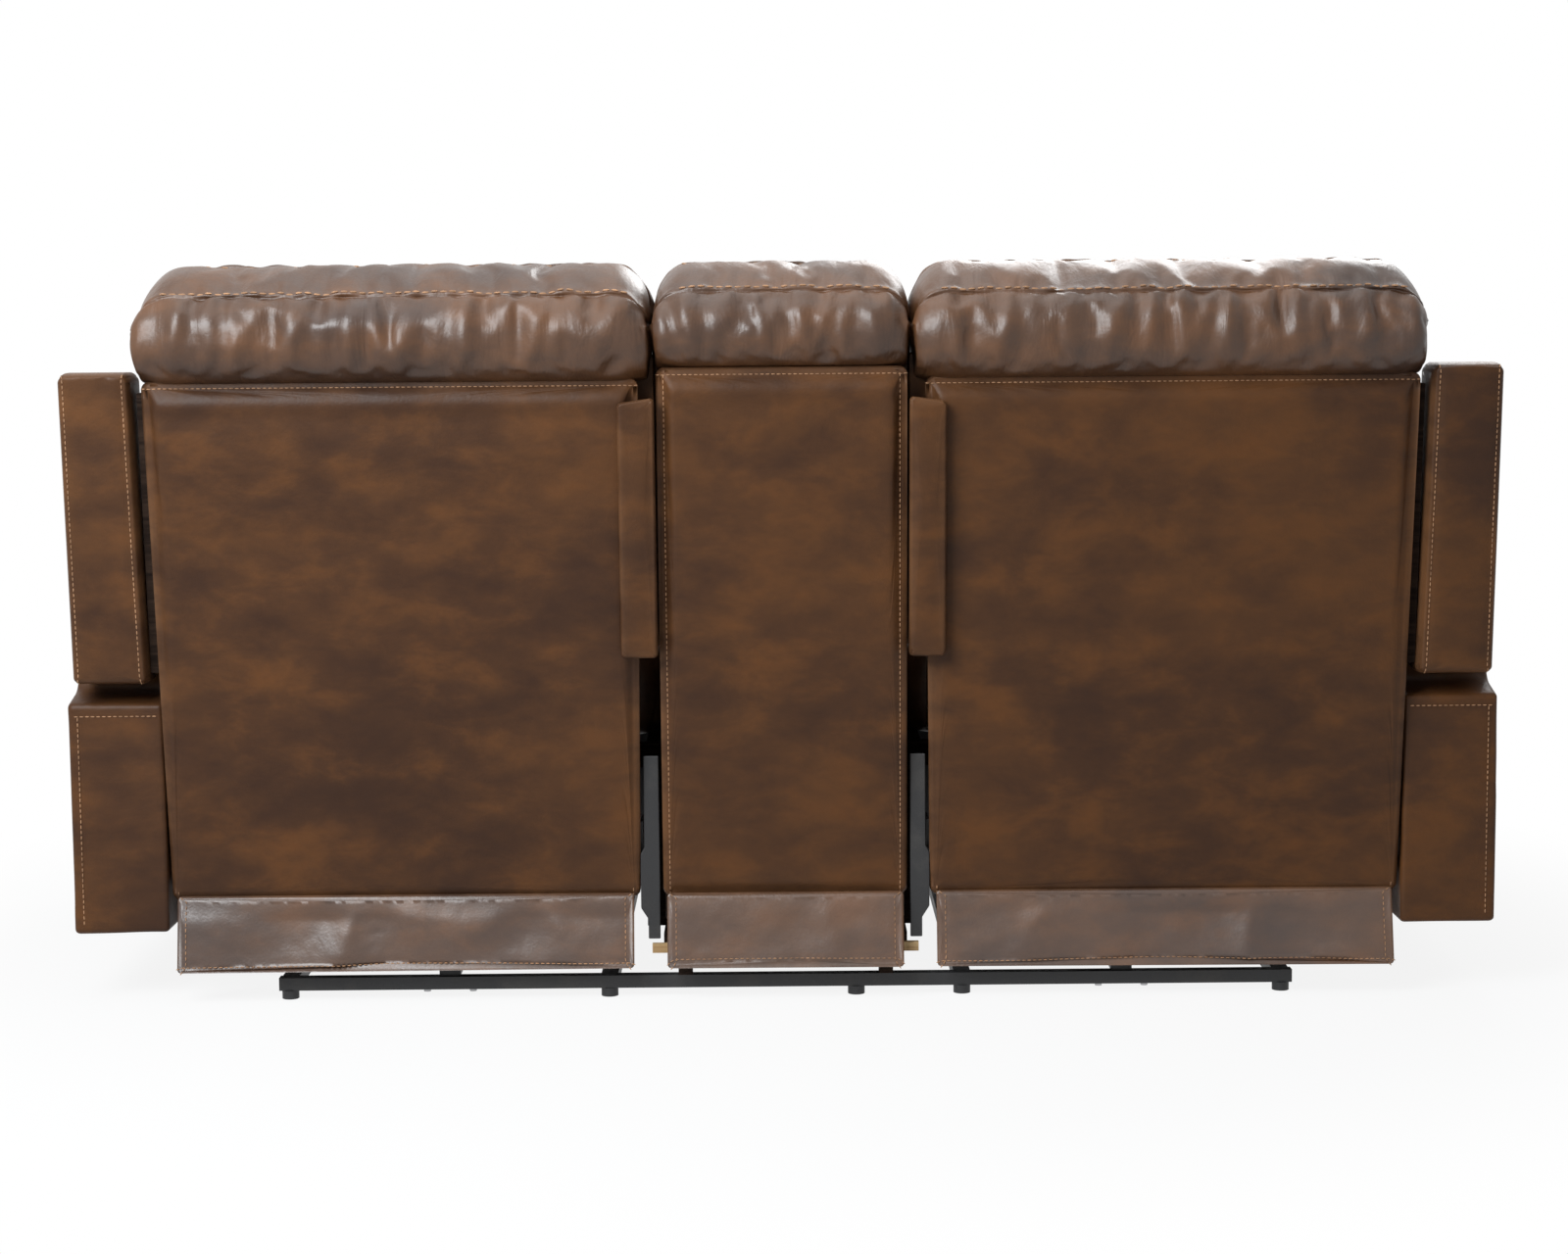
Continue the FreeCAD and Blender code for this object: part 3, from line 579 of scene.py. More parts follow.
def rear_panel(node, body, flare, sewn_share):
    """A thin padded panel with a turned hem on top, and topstitched sides up to a share of its height."""
    low, high = node_box(node)
    width, height = high[0] - low[0], high[2] - low[2]
    depth = leaning(low, high, PANEL_THICKNESS)
    middle = (low[0] + high[0]) / 2

    def place(a, b, lift):
        z = low[2] + b - 0.004 * (1 - b / height)
        x = middle + (a - width / 2) * (1 + flare * b / height)
        return np.stack([x, depth(z) + lift, z], -1)

    def relief(a, b):
        spot = upright(a, b, low)
        from_top, side = height - b, inside(a, width)
        sewn = np.clip((sewn_share * height - b) / 0.03, 0, 1)
        swell = (0.0030 * noise(spot, 3.1, 1) + 0.0012 * noise(spot, 8.5, 2)
                 + 0.0005 * noise(spot, (9, 1, 26), 3))
        turned_in = 0.019 * fade(from_top, 0.024) + 0.004 * fade(side, 0.012)
        grooves = bell(from_top - HEM, 0.0032) + sewn * bell(side - HEM, 0.0032)
        under_hem = bell(from_top - HEM * 2.4, 0.012)
        puckers = noise(spot, (75, 1, 20), 5) * fade(from_top, 0.045)
        side_puckers = noise(spot, (20, 1, 75), 6) * fade(side, 0.03) * sewn
        return (swell - turned_in - 0.0026 * grooves + 0.0042 * under_hem + 0.0010 * puckers
                + 0.0012 * side_puckers)

    panel, top, (a, b) = quilt(node + "_leather", (width, height), PANEL_THICKNESS, 0.010, place, body,
                               material("panel_hide", leather), 2.2, 0.0085, 0.012, relief)
    dress(panel, node)
    add_seam(body, top[3:-3, column_at(b, height - HEM)], lift=REAR_LIFT)
    sew_sides(body, top, a, (HEM, width - HEM), 0.02, sewn_share, REAR_LIFT)


# Loose flaps; each pinch has its share of the width and its size
FLAP_PINCHES = {
    "left_back_flap": ((0.60, 0.007), (0.22, 0.005)),
    "console_back_flap": ((0.35, 0.004),),
    "right_back_flap": ((0.30, 0.006), (0.72, 0.003)),
}
FLAP_HEM = 0.010


def hanging_flap(node, body, carrier=None):
    """A thin loose flap, creased where it folds; its stitches ride on its body, and so does its leather
    unless a carrier is given, when the leather rides on no body.
    """
    low, high = node_box(node)
    width, drop = high[0] - low[0], high[2] - low[2]

    def creased(a, b):
        total = np.zeros_like(a)
        for share, size in FLAP_PINCHES[node]:
            x, z = share * width, drop * 1.02
            turn = np.arctan2(a - x, z - b)
            away = np.hypot(a - x, z - b)
            ridge = 1 - np.sqrt(np.sin(1.9 * turn + x * 31) ** 2 + 0.03) * 1.9
            total += size * ridge * np.clip(away / 0.06, 0, 1) ** 2 * bell(away, 0.15)
        return total

    def place(a, b, lift):
        share = 1 - b / drop
        spot = np.stack([a + low[0], 0 * a, b], -1)
        ripple = noise(spot, (6.5, 1, 9), 11) * 0.010 + noise(spot, (12, 1, 17), 12) * 0.0055
        sag = noise(spot, (4, 1, 1), 13) * 0.0025 * share
        fold = np.clip(share * 3.2, 0, 1) ** 2
        y = low[1] + 0.002 + (high[1] - low[1] - 0.003) * share ** 0.85
        y = y + ripple * share ** 0.5 * fold + creased(a, b) * fold
        return np.stack([low[0] + a, y + lift, low[2] + b + sag + 0.005], -1)

    def relief(a, b):
        spot = np.stack([a + low[0], 0 * a, b], -1)
        groove = bell(np.minimum(inside(a, width), b) - FLAP_HEM, 0.0028)
        return 0.0008 * turbulence(spot, (28, 1, 34), 14) - 0.0010 * groove

    piece, top, (a, b) = quilt(node + "_leather", (width, drop), 0.0024, 0.0028, place,
                               None if carrier else body, material("flap_hide", leather), 2.0,
                               0.0048, 0.006, relief)
    if carrier:
        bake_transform(piece)
    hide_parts(node)
    add_seam(body, top[4:-4, column_at(b, FLAP_HEM)], lift=REAR_LIFT)
    sew_sides(body, top, a, (FLAP_HEM, width - FLAP_HEM), 0.08, 0.80, REAR_LIFT)


# Wings beside the reclining backs
def wing(node, body, depth, edge, crown, corner, taper=0.0, reach=0.0, slant=0.0):
    """A padded board wing: narrower on top where it tapers, topstitched unless its top is slanted."""
    low, high = node_box(node)
    inner_edge, outward = (low, 1) if high[0] > 0 else (high, -1)
    inner_edge[0] -= outward * reach
    near_console, outer = (low[0], high[0])[::outward]
    width, height = high[0] - low[0], high[2] - low[2]
    middle = leaning(low, high, depth)

    def place(a, b, lift):
        arch = crown * arched(a, width) * np.clip(b / height, 0, 1)
        from_console = np.abs(low[0] + a - near_console) / width
        z = low[2] + b + arch - slant * from_console * np.clip((b - height + 0.06) / 0.06, 0, 1)
        x = outer + (low[0] + a - outer) * (1 - taper * b / height)
        return np.stack([x, middle(z) + lift, z], -1)

    def relief(a, b):
        spot = upright(a, b, low)
        groove = bell(inside(a, width) - HEM, 0.003)
        if slant:
            fold = height - b - np.abs(low[0] + a - near_console) * 1.4 + 0.004
            groove = 0.7 * bell(fold, 0.0035) * np.clip(1 - (height - b) / 0.05, 0, 1)
        ends = fade(inside(b, height), 0.03)
        return (0.002 * noise(spot, 9, 21) - 0.0028 * groove + 0.0015 * noise(spot, (70, 1, 22), 22) * ends
                + 0.0022 * arched(a, width))

    piece, top, (a, b) = quilt(node + "_leather", (width, height), depth, edge, place, body,
                               material("panel_hide", leather), 3.0, 0.006, corner, relief)
    dress(piece, node)
    if not slant:
        sew_sides(body, top, a, (HEM, width - HEM), 0.05, 0.95, REAR_LIFT)


# Head rolls; the loop and its seams are pairs of Y and Z
ROLL_LOOP = (
    (0.487, 0.881), (0.503, 0.894), (0.512, 0.921), (0.510, 0.949), (0.497, 0.974), (0.477, 0.990),
    (0.440, 1.012), (0.392, 1.027), (0.345, 1.030), (0.292, 1.018), (0.262, 0.996), (0.243, 0.965),
    (0.236, 0.925), (0.244, 0.893), (0.264, 0.880), (0.380, 0.875), (0.432, 0.868), (0.466, 0.871))
ROLL_TOP = 1.0373
ROLL_BOTTOM = 0.8760
REAR_SEAM = (0.477, 0.990)
CREST_SEAM = (0.350, 1.031)
TUCK = (0.487, 0.881)
SEAM_LINES = (-0.0075, -0.0045, -0.0020, 0, 0.0020, 0.0045, 0.0075)
SEAM_CLEARANCE = 0.0095
LAP_PROFILE = ((3, 0.0012), (2, 0.0016), (1, 0.0020), (0, 0.0012), (-1, -0.0034), (-2, -0.0016))


def at_point(loop, point):
    """Index of the loop's point that is closest to a given one."""
    return nearest(np.hypot(loop[:, 0] - point[0], loop[:, 1] - point[1]), 0)


def closed_curve(points, count, marks):
    """Points along a smooth closed loop through a few given ones, closer together beside each mark."""
    knots = np.asarray(points, float)
    dense = []
    for index in range(len(knots)):
        p0, p1, p2, p3 = (knots[(index + shift) % len(knots)] for shift in (-1, 0, 1, 2))
        t = np.linspace(0, 1, 24, endpoint=False)[:, None]
        dense.append(0.5 * (2 * p1 + (p2 - p0) * t + (2 * p0 - 5 * p1 + 4 * p2 - p3) * t ** 2
                            + (3 * p1 - p0 - 3 * p2 + p3) * t ** 3))
    dense = np.concatenate(dense)
    closed = np.vstack([dense, dense[:1]])
    run = np.concatenate([[0], np.cumsum(np.linalg.norm(np.diff(closed, axis=0), axis=1))])
    at = np.linspace(0, run[-1], count, endpoint=False)
    for mark in marks:
        here = run[at_point(dense, mark)]
        at = np.concatenate([at[np.abs(at - here) > SEAM_CLEARANCE], here + np.array(SEAM_LINES)])
    at = np.sort(at)
    return np.stack([np.interp(at, run, closed[:, column]) for column in range(2)], 1)


def roll_mesh(name, near, far, loop, body, step, marks):
    """A closed bolster along X: the loop in Y and Z, drawn in over ends that are rounder on top."""
    end, cap_bulge, cap_rings, keel = 0.050, 0.005, 9, 0.02
    count = int(round(np.linalg.norm(np.diff(np.vstack([loop, loop[:1]]), axis=0), axis=1).sum() / step))
    ring = closed_curve(loop, count, marks)
    middle = (ring.min(0) + ring.max(0)) / 2
    length = far - near
    inward = end * (1 - np.cos(np.linspace(0, math.pi / 2, 9)))
    straight = max(4, int(round((length - 2 * end) / step)))
    along = np.concatenate([inward, np.linspace(end, length - end, straight + 1)[1:-1],
                            (length - inward)[::-1]])
    from_end = np.clip(inside(along, length) / end, 0, 1)
    drawn = 1 - np.sqrt(1 - (1 - from_end) ** 2)
    shares = np.linspace(0.05, 1, cap_rings + 1)[:-1]
    bulge = cap_bulge * (1 - shares ** 2)
    along = np.concatenate([-bulge, along, length + bulge[::-1]])
    drawn = np.concatenate([np.ones(cap_rings), drawn, np.ones(cap_rings)])
    inner = np.concatenate([shares, np.ones(len(along) - 2 * cap_rings), shares[::-1]])
    rise = ring[None, :, 1] - middle[1]
    high = 1 - drawn[:, None] * np.where(rise > 0, 0.58, 0.12)
    points = np.empty((len(along), len(ring), 3))
    points[:, :, 0] = near + cap_bulge + along[:, None] * (length - 2 * cap_bulge) / length
    narrow = 1 - 0.15 * drawn[:, None]
    points[:, :, 1] = middle[0] + (ring[None, :, 0] - middle[0]) * narrow * inner[:, None]
    points[:, :, 2] = middle[1] - keel + (rise + keel) * high * inner[:, None]
    index = np.arange(points.shape[0] * points.shape[1]).reshape(points.shape[:2])
    faces = ring_faces(index)
    vertices = np.vstack([points.reshape(-1, 3), points[0].mean(0), points[-1].mean(0)])
    for row, centre, turn in ((0, index.size, 1), (-1, index.size + 1, -1)):
        for pair in zip(index[row], np.roll(index[row], -1)):
            faces.append([*pair[::turn], centre])
    piece = make_piece(name, vertices, faces, body, material("roll_hide", leather))
    return piece, index, along, ring


def gathers(along, share, seed):
    """Pinched folds that run from a seam at share 0 towards a tuck at share 1."""
    spacing, depth = 0.031, 0.0060
    turns = (0.618, 0.755, 0.570, 0.433)
    total = np.zeros_like(along)
    for index in range(int((along.max() - along.min()) / spacing)):
        first, second, third, fourth = ((index * turn + seed * 0.37) % 1 for turn in turns)
        centre = along.min() + (index + 0.15 + 0.7 * first) * spacing
        width = (0.0045 + 0.0085 * third) * (1 + share)
        start, end = 0.30 * fourth, 0.62 + 0.45 * second
        away = (along - centre - (second - 0.5) * 0.07 * (share - 0.5)) / width
        window = bell(np.clip(start - share, 0, None), 0.08) * bell(np.clip(share - end, 0, None), 0.15)
        profile = 0.55 * bell(np.abs(away) - 1.7, 0.8) - bell(away, 1)
        total += depth * (0.35 + 0.65 * fourth) * window * profile
    return total


def crease(piece, index, along, ring, rear, tuck, seed):
    """Press gathered folds into the bulge between the rear seam and the tuck."""
    count = len(ring)
    step = 1 if (tuck - rear) % count < (rear - tuck) % count else -1
    columns = [(rear + step * shift) % count for shift in range(((tuck - rear) * step) % count + 1)]
    share = np.linspace(0, 1, len(columns))[None, :] * np.ones((len(along), 1))
    spot = np.stack([along[:, None] + 0 * share, share, share], -1)
    depth = gathers(along[:, None] * np.ones((1, len(columns))), share, seed)
    depth += 0.004 * np.sin(share * math.pi) * noise(spot, (14, 2, 2), seed)
    depth *= np.sin(np.clip(share, 0, 1) * math.pi) ** 0.35
    points = vertex_values(piece.data)
    chosen = index[:, columns]
    points[chosen] += vertex_values(piece.data, "normal")[chosen] * depth[..., None]
    set_points(piece, points)


def lap_seams(piece, index, columns):
    """Lap the upper leather over the lower along each seam, with a sharp drop below its edge."""
    points = vertex_values(piece.data)
    normals = vertex_values(piece.data, "normal")
    for column in columns:
        for shift, depth in LAP_PROFILE:
            line = index[:, (column + shift) % index.shape[1]]
            points[line] += normals[line] * depth
    set_points(piece, points)


def head_roll(node, body, looseness, seed):
    """A plump head roll: stuffed leather gathered between a lapped seam and the tuck below it."""
    low, high = node_box(node)
    squeeze = (high[2] - low[2]) / (ROLL_TOP - ROLL_BOTTOM)

    def settle(points):
        return [(y, high[2] - (ROLL_TOP - z) * squeeze) for y, z in points]

    marks = settle((REAR_SEAM, CREST_SEAM, TUCK))
    step = bpy.context.scene.sofa_padding.step
    piece, index, along, ring = roll_mesh(node + "_leather", low[0] - 0.0005, high[0] + 0.0005,
                                          settle(ROLL_LOOP), body, step, marks[:2])
    rear, crest, tuck = (at_point(ring, mark) for mark in marks)
    held = np.zeros(len(piece.data.vertices))
    held[index[:, ring[:, 1] < low[2] + 0.008].ravel()] = 1
    for column in (rear, crest, tuck):
        held[index[:, column]] = 1
    points = vertex_values(piece.data)
    points[:, 1] += 0.0012 * noise(points, (48, 12, 6), seed) * (held < 0.5)
    points[:, 2] += 0.0012 * noise(points, (30, 8, 8), seed + 1) * (held < 0.5)
    set_points(piece, points)
    puff(piece, held, looseness, 0.014)
    crease(piece, index, along, ring, rear, tuck, seed)
    lap_seams(piece, index, (rear, crest))
    dress(piece, node)
    start, end = nearest(along, 0.03), nearest(along, high[0] - low[0] - 0.036)
    lifted = vertex_values(piece.data) + vertex_values(piece.data, "normal") * 0.0006
    for column in ((rear + 2) % len(ring), crest - 2):
        add_seam(body, lifted[index[start:end + 1, column]], "bold")


# Arms
def rounded_outline(corners, radii):
    """Points round a polygon of Y and Z corners, each corner turned by its own radius."""
    arc_steps, spacing = 8, 0.009
    corners = np.asarray(corners, float)
    points = []
    for index, here in enumerate(corners):
        before, after = corners[index - 1], corners[(index + 1) % len(corners)]
        to_before = (before - here) / np.linalg.norm(before - here)
        to_after = (after - here) / np.linalg.norm(after - here)
        half = math.acos(np.clip(to_before @ to_after, -1, 1)) / 2
        reach = radii[index] / math.tan(half)
        start, end = here + to_before * reach, here + to_after * reach
        for t in np.linspace(0, 1, arc_steps):
            points.append((1 - t) ** 2 * start + 2 * t * (1 - t) * here + t ** 2 * end)
    points = np.array(points)
    dense = []
    for first, second in zip(points, np.roll(points, -1, axis=0)):
        pieces = max(1, int(np.linalg.norm(second - first) / spacing))
        for share in np.arange(pieces) / pieces:
            dense.append(first + (second - first) * share)
    return np.array(dense)


def outline_slab(name, outline, near, far):
    """A padded slab across X with a side outline, soft edges and uneven leather."""
    edge, step, swell, seed = 0.007, 0.008, 0.0022, 41
    ahead = np.roll(outline, -1, axis=0) - np.roll(outline, 1, axis=0)
    normals = np.stack([ahead[:, 1], -ahead[:, 0]], 1) / np.linalg.norm(ahead, axis=1, keepdims=True)
    area = np.sum(outline[:, 0] * np.roll(outline[:, 1], -1) - np.roll(outline[:, 0], -1) * outline[:, 1])
    normals = normals if area > 0 else -normals
    turns = np.linspace(0, math.pi / 2, 6)
    inward = edge * (1 - np.cos(turns))
    inset = edge * (1 - np.sin(turns))
    width = far - near
    straight = max(2, int(round((width - 2 * edge) / step)))
    along = np.concatenate([inward, np.linspace(edge, width - edge, straight + 1)[1:-1],
                            (width - inward)[::-1]])
    insets = np.concatenate([inset, np.zeros(straight - 1), inset[::-1]])
    middle = outline.mean(0)
    shares = np.linspace(1, 0.03, 26)[1:]
    cap = [middle + (outline - normals * edge - middle) * share for share in shares]
    rings = cap[::-1] + [outline - normals * depth for depth in insets] + cap
    xs = [near] * len(cap) + list(near + along) + [far] * len(cap)
    flat = np.array([[(x, y, z) for y, z in ring] for x, ring in zip(xs, rings)]).reshape(-1, 3)
    index = np.arange(len(flat)).reshape(len(rings), len(outline))
    faces = ring_faces(index)
    faces.append(index[0].tolist())
    faces.append(index[-1][::-1].tolist())
    piece = make_piece(name, flat, faces, "frame", material("panel_hide", leather))
    flat = flat + vertex_values(piece.data, "normal") * (swell * turbulence(flat, 5.5, seed))[:, None]
    flat[:, 0] = np.clip(flat[:, 0], near + 0.0004, far - 0.0004)
    set_points(piece, flat)
    return piece


def arm_cover(side, name):
    """The leather-clad side of the sofa, low behind and high in front."""
    low, high = node_box(f"{name}_arm_cover")
    rear_top, shoulder, shoulder_rear, top_rear = 0.425, 0.440, 0.350, 0.330
    corners = [(low[1], low[2]), (high[1], low[2]), (high[1], rear_top), (shoulder_rear, shoulder),
               (top_rear, high[2]), (low[1], high[2])]
    outline = rounded_outline(corners, (0.010, 0.008, 0.010, 0.03, 0.03, 0.02))
    cover = outline_slab(f"{name}_arm_leather", outline, low[0], high[0])
    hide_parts(f"{name}_arm_cover")
    y = high[1] + 0.0016
    outer = high[0] if side > 0 else low[0]
    heights = np.linspace(low[2] + 0.015, rear_top - 0.02, 40)
    across = np.linspace(low[0] + 0.012, high[0] - 0.012, 16)
    add_seam("frame", [(outer - side * 0.014, y, z) for z in heights])
    add_seam("frame", [(x, y, rear_top - 0.016) for x in across])


def arm_pad(side, name):
    """The pillow on top of an arm."""
    low, high = node_box(f"{name}_arm_pad")
    size = (high[0] - low[0], high[1] - low[1])
    seam = 0.030

    def relief(a, b):
        spot = on_grid(a, b)
        from_seam = inside(a, size[0]) - seam
        puckers = noise(spot, (20, 60, 1), 52) * fade(np.abs(from_seam), 0.02)
        return 0.003 * noise(spot, 9, 51) - 0.005 * bell(from_seam, 0.0035) + 0.0018 * puckers

    pad, top, (a, b) = quilt(f"{name}_arm_pillow", size, high[2] - low[2], 0.030,
                             laid(low, 2, (low[2] + high[2]) / 2), "frame",
                             material("seat_hide", leather), 2.4, 0.008, 0.03, relief)
    dress(pad, f"{name}_arm_pad")
    sew_sides("frame", top, a, (seam, size[0] - seam), 0.06, 0.94)


# Cushions
BACK_LEAN = 0.104


def cushion(node, body, axis, edge, power, channels, crown, seed, overhang=0.0):
    """A stuffed cushion; axis is the way its main face looks, channels are sewn grooves."""
    low, high = node_box(node)
    low[0] -= overhang
    high[0] += overhang
    others = [index for index in range(3) if index != axis]
    size = (high[others[0]] - low[others[0]], high[others[1]] - low[others[1]])
    lean = BACK_LEAN if "back" in node else 0.0
    thickness = high[axis] - low[axis] - lean * size[1]
    shrink = 0.004

    def relief(a, b):
        spot = on_grid(a, b)
        dome = arched(a, size[0]) * arched(b, size[1])
        total = crown * dome + 0.004 * noise(spot, 6, seed) + 0.0015 * noise(spot, 19, seed + 1)
        for share, depth in channels:
            away = b - share * size[1]
            total = total - depth * bell(away, 0.010)
            total = total + 0.003 * noise(spot, (42, 12, 1), seed + 2) * fade(np.abs(away), 0.035)
        return total + 0.003 * noise(spot, (16, 48, 1), seed + 3) * fade(inside(a, size[0]), 0.05)

    place = laid(low, axis, low[axis] + thickness / 2, 1 if axis == 2 else -1, lean)
    piece, top, (a, b) = quilt(f"{node}_leather", size, thickness - 2 * shrink, edge, place, body,
                               material("seat_hide", leather), power, 0.010, 0.035, relief)
    held = np.zeros(len(piece.data.vertices))
    grid = np.arange(a.size).reshape(a.shape)
    sewn = [column_at(b, share * size[1]) for share, depth in channels]
    held[grid[:, [0, -1, *sewn]]] = 1
    held[grid[[0, -1]]] = 1
    held[a.size:] = 0.9
    puff(piece, held, 0.035, 0.012)
    dress(piece, node)
    points = vertex_values(piece.data)[:a.size].reshape(a.shape + (3,))
    for column in sewn:
        for shift in (-1, 1):
            add_seam(body, points[5:-5, column + shift])


# Console and the gaps beside it
def boarded_panel(name, body, low, high, axis, edge, seed):
    """A thin leather-wrapped board between two corners, facing along an axis."""
    others = [index for index in range(3) if index != axis]
    size = (high[others[0]] - low[others[0]], high[others[1]] - low[others[1]])

    def relief(a, b):
        return 0.0012 * noise(on_grid(a, b), 7, seed)

    place = laid(low, axis, (low[axis] + high[axis]) / 2)
    piece = quilt(name, size, high[axis] - low[axis], edge, place, body,
                  material("panel_hide", leather), 2.2, 0.014, 0.006, relief, relief)[0]
    smooth_more(piece)
    return piece


def console_cover():
    """The console's front and side boards in leather."""
    low, high = node_box("console_cover")
    board, edge = 0.012, 0.005
    rear_of_front = low[1] + board
    corner = (high[0], rear_of_front, high[2])
    pieces = [boarded_panel("console_front_leather", "frame", low, corner, 1, edge, 61)]
    for side, name in SIDES:
        inner, outer = sorted((side * high[0], side * (high[0] - board)))
        pieces.append(boarded_panel(f"console_{name}_leather", "frame", (inner, rear_of_front, low[2]),
                                    (outer, high[1], high[2]), 0, edge, 62))
    for piece in pieces:
        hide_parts("console_cover")


def console_lid():
    """The padded lid of the storage bin."""
    low, high = node_box("console_lid")
    size = (high[0] - low[0], high[1] - low[1])
    seam = 0.03

    def relief(a, b):
        edge = np.minimum(inside(a, size[0]), inside(b, size[1]))
        dome = arched(a, size[0]) * arched(b, size[1])
        return 0.004 * dome + 0.0015 * noise(on_grid(a, b), 11, 66) - 0.003 * bell(edge - seam, 0.003)

    lid, top, (a, b) = quilt("console_lid_leather", size, high[2] - low[2], 0.016,
                             laid(low, 2, (low[2] + high[2]) / 2), "console_lid",
                             material("seat_hide", leather), 3.0, 0.008, 0.02, relief)
    dress(lid, "console_lid")
    first, last = 0.12, 0.88
    sew_sides("console_lid", top, a, (seam, size[0] - seam), first, last)
    for distance in (seam, size[1] - seam):
        line = top[:, column_at(b, distance)]
        add_seam("console_lid", line[int(first * len(line)):int(last * len(line))])


def gusset(name, body, side, reach, depth, rise):
    """A narrow leather strip that closes the slit beside a back; reach is measured from the middle."""
    inner, outer = sorted((side * reach[0], side * reach[1]))
    boarded_panel(name, body, (inner, depth[0], rise[0]), (outer, depth[1], rise[1]), 1, 0.002, 63)


def gap_bracket(side, name):
    """A black steel plate with a turned foot that shows between a back and the console."""
    near, far, front, rear = 0.1765, 0.2035, 0.404, 0.408
    outline = ((0.0, 0.345), (0.8, 0.345), (0.8, 0.215), (1.0, 0.205), (1.0, 0.128), (0.62, 0.112),
               (0.62, 0.084), (0.0, 0.084))
    rim = [(side * (near + (far - near) * share), z) for share, z in outline]
    count = len(rim)
    vertices = [(x, y, z) for y in (front, rear) for x, z in rim]
    faces = [tuple(range(count)), tuple(range(2 * count - 1, count - 1, -1))]
    faces += [(i, count + i, count + (i + 1) % count, (i + 1) % count) for i in range(count)]
    piece = make_piece(f"{name}_gap_bracket", vertices, faces, "frame",
                       material("black_powder_coat", painted_steel))
    piece.data.polygons.foreach_set("use_smooth", [False] * len(piece.data.polygons))
    bevel = piece.modifiers.new("Edges", "BEVEL")
    bevel.width = 0.0012
    bevel.segments = 2


# Stitches
def stitch_tree():
    """Geometry nodes that lay spindle-shaped stitches along a curve."""
    tree = bpy.data.node_groups.new("Stitches", "GeometryNodeTree")
    sockets = [("Geometry", "INPUT", "Geometry"), ("Pitch", "INPUT", "Float"),
               ("Stitch Length", "INPUT", "Float"), ("Thread Radius", "INPUT", "Float"),
               ("Thread", "INPUT", "Material"), ("Geometry", "OUTPUT", "Geometry")]
    for label, way, kind in sockets:
        tree.interface.new_socket(label, in_out=way, socket_type="NodeSocket" + kind)
    nodes = Nodes(tree)
    entry = nodes.node("NodeGroupInput").outputs
    radius = entry["Thread Radius"]
    half = nodes.node("ShaderNodeMath", {"operation": "MULTIPLY"}, {0: entry["Stitch Length"], 1: 0.5})
    size = nodes.node("ShaderNodeCombineXYZ", {}, {0: radius, 1: radius, 2: half.outputs[0]})
    ball = nodes.node("GeometryNodeMeshUVSphere", {}, {"Segments": 6, "Rings": 5, "Radius": 1.0})
    tangent = nodes.node("GeometryNodeInputTangent").outputs[0]
    turn = nodes.node("FunctionNodeAlignRotationToVector", {"axis": "Z"}, {"Vector": tangent})
    spots = nodes.node("GeometryNodeResampleCurve", {"mode": "LENGTH"},
                       {"Curve": entry["Geometry"], "Length": entry["Pitch"]})
    laid_out = nodes.node("GeometryNodeInstanceOnPoints", {}, {
        "Points": spots.outputs[0], "Instance": ball.outputs["Mesh"], "Rotation": turn.outputs[0],
        "Scale": size.outputs[0]})
    whole = nodes.node("GeometryNodeRealizeInstances", {}, {0: laid_out.outputs[0]})
    painted = nodes.node("GeometryNodeSetMaterial", {}, {
        "Geometry": whole.outputs[0], "Material": entry["Thread"]})
    nodes.node("NodeGroupOutput", {}, {0: painted.outputs[0]})
    return tree


def grow(name, lines, tree, inputs):
    """Run a geometry nodes tree on a curve along some lines and return the mesh it makes."""
    data = bpy.data.curves.new(name, "CURVE")
    data.dimensions = "3D"
    for line in lines:
        spline = data.splines.new("POLY")
        spline.points.add(len(line) - 1)
        spline.points.foreach_set("co", np.hstack([line, np.ones((len(line), 1))]).ravel())
    curve = link(name, data)
    modifier = curve.modifiers.new("Grow", "NODES")
    modifier.node_group = tree
    sockets = {item.name: item.identifier for item in tree.interface.items_tree if item.in_out == "INPUT"}
    for label, entry in inputs.items():
        modifier[sockets[label]] = entry
    bpy.context.view_layer.update()
    grown = bpy.data.meshes.new_from_object(curve.evaluated_get(bpy.context.evaluated_depsgraph_get()))
    bpy.data.objects.remove(curve)
    return grown


def stitches():
    """All stitch lines, one mesh for each body and kind of stitch."""
    look = bpy.context.scene.sofa_stitching
    tree = stitch_tree()
    finish = material("tan_thread", thread)
    sizes = {"fine": (look.pitch, look.length, look.radius),
             "bold": (look.bold_pitch, look.bold_length, look.bold_radius)}
    for (body, kind), lines in seam_lines.items():
        inputs = dict(zip(("Pitch", "Stitch Length", "Thread Radius"), sizes[kind]))
        mesh = grow(f"{body}_{kind}_seam_lines", lines, tree, {**inputs, "Thread": finish})
        piece = link(f"{body}_{kind}_stitches", mesh)
        if not mesh.materials:
            mesh.materials.append(finish)
        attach(piece, body)


# Carried-over pieces
FINISHES = {
    "black_steel": ("black_powder_coat", painted_steel),
    "zinc_steel": ("zinc_plate", bare_steel),
    "spring_steel": ("spring_wire", bare_steel),
    "cup_metal": ("brushed_cup", bare_steel),
    "black_plastic": ("moulded_black", moulded_plastic),
    "plywood": ("stained_boards", timber),
    "pale_wood": ("pale_timber", timber),
    "panel_leather": ("panel_hide", leather),
    "cushion_leather": ("seat_hide", leather),
    "flap_leather": ("flap_hide", leather),
}


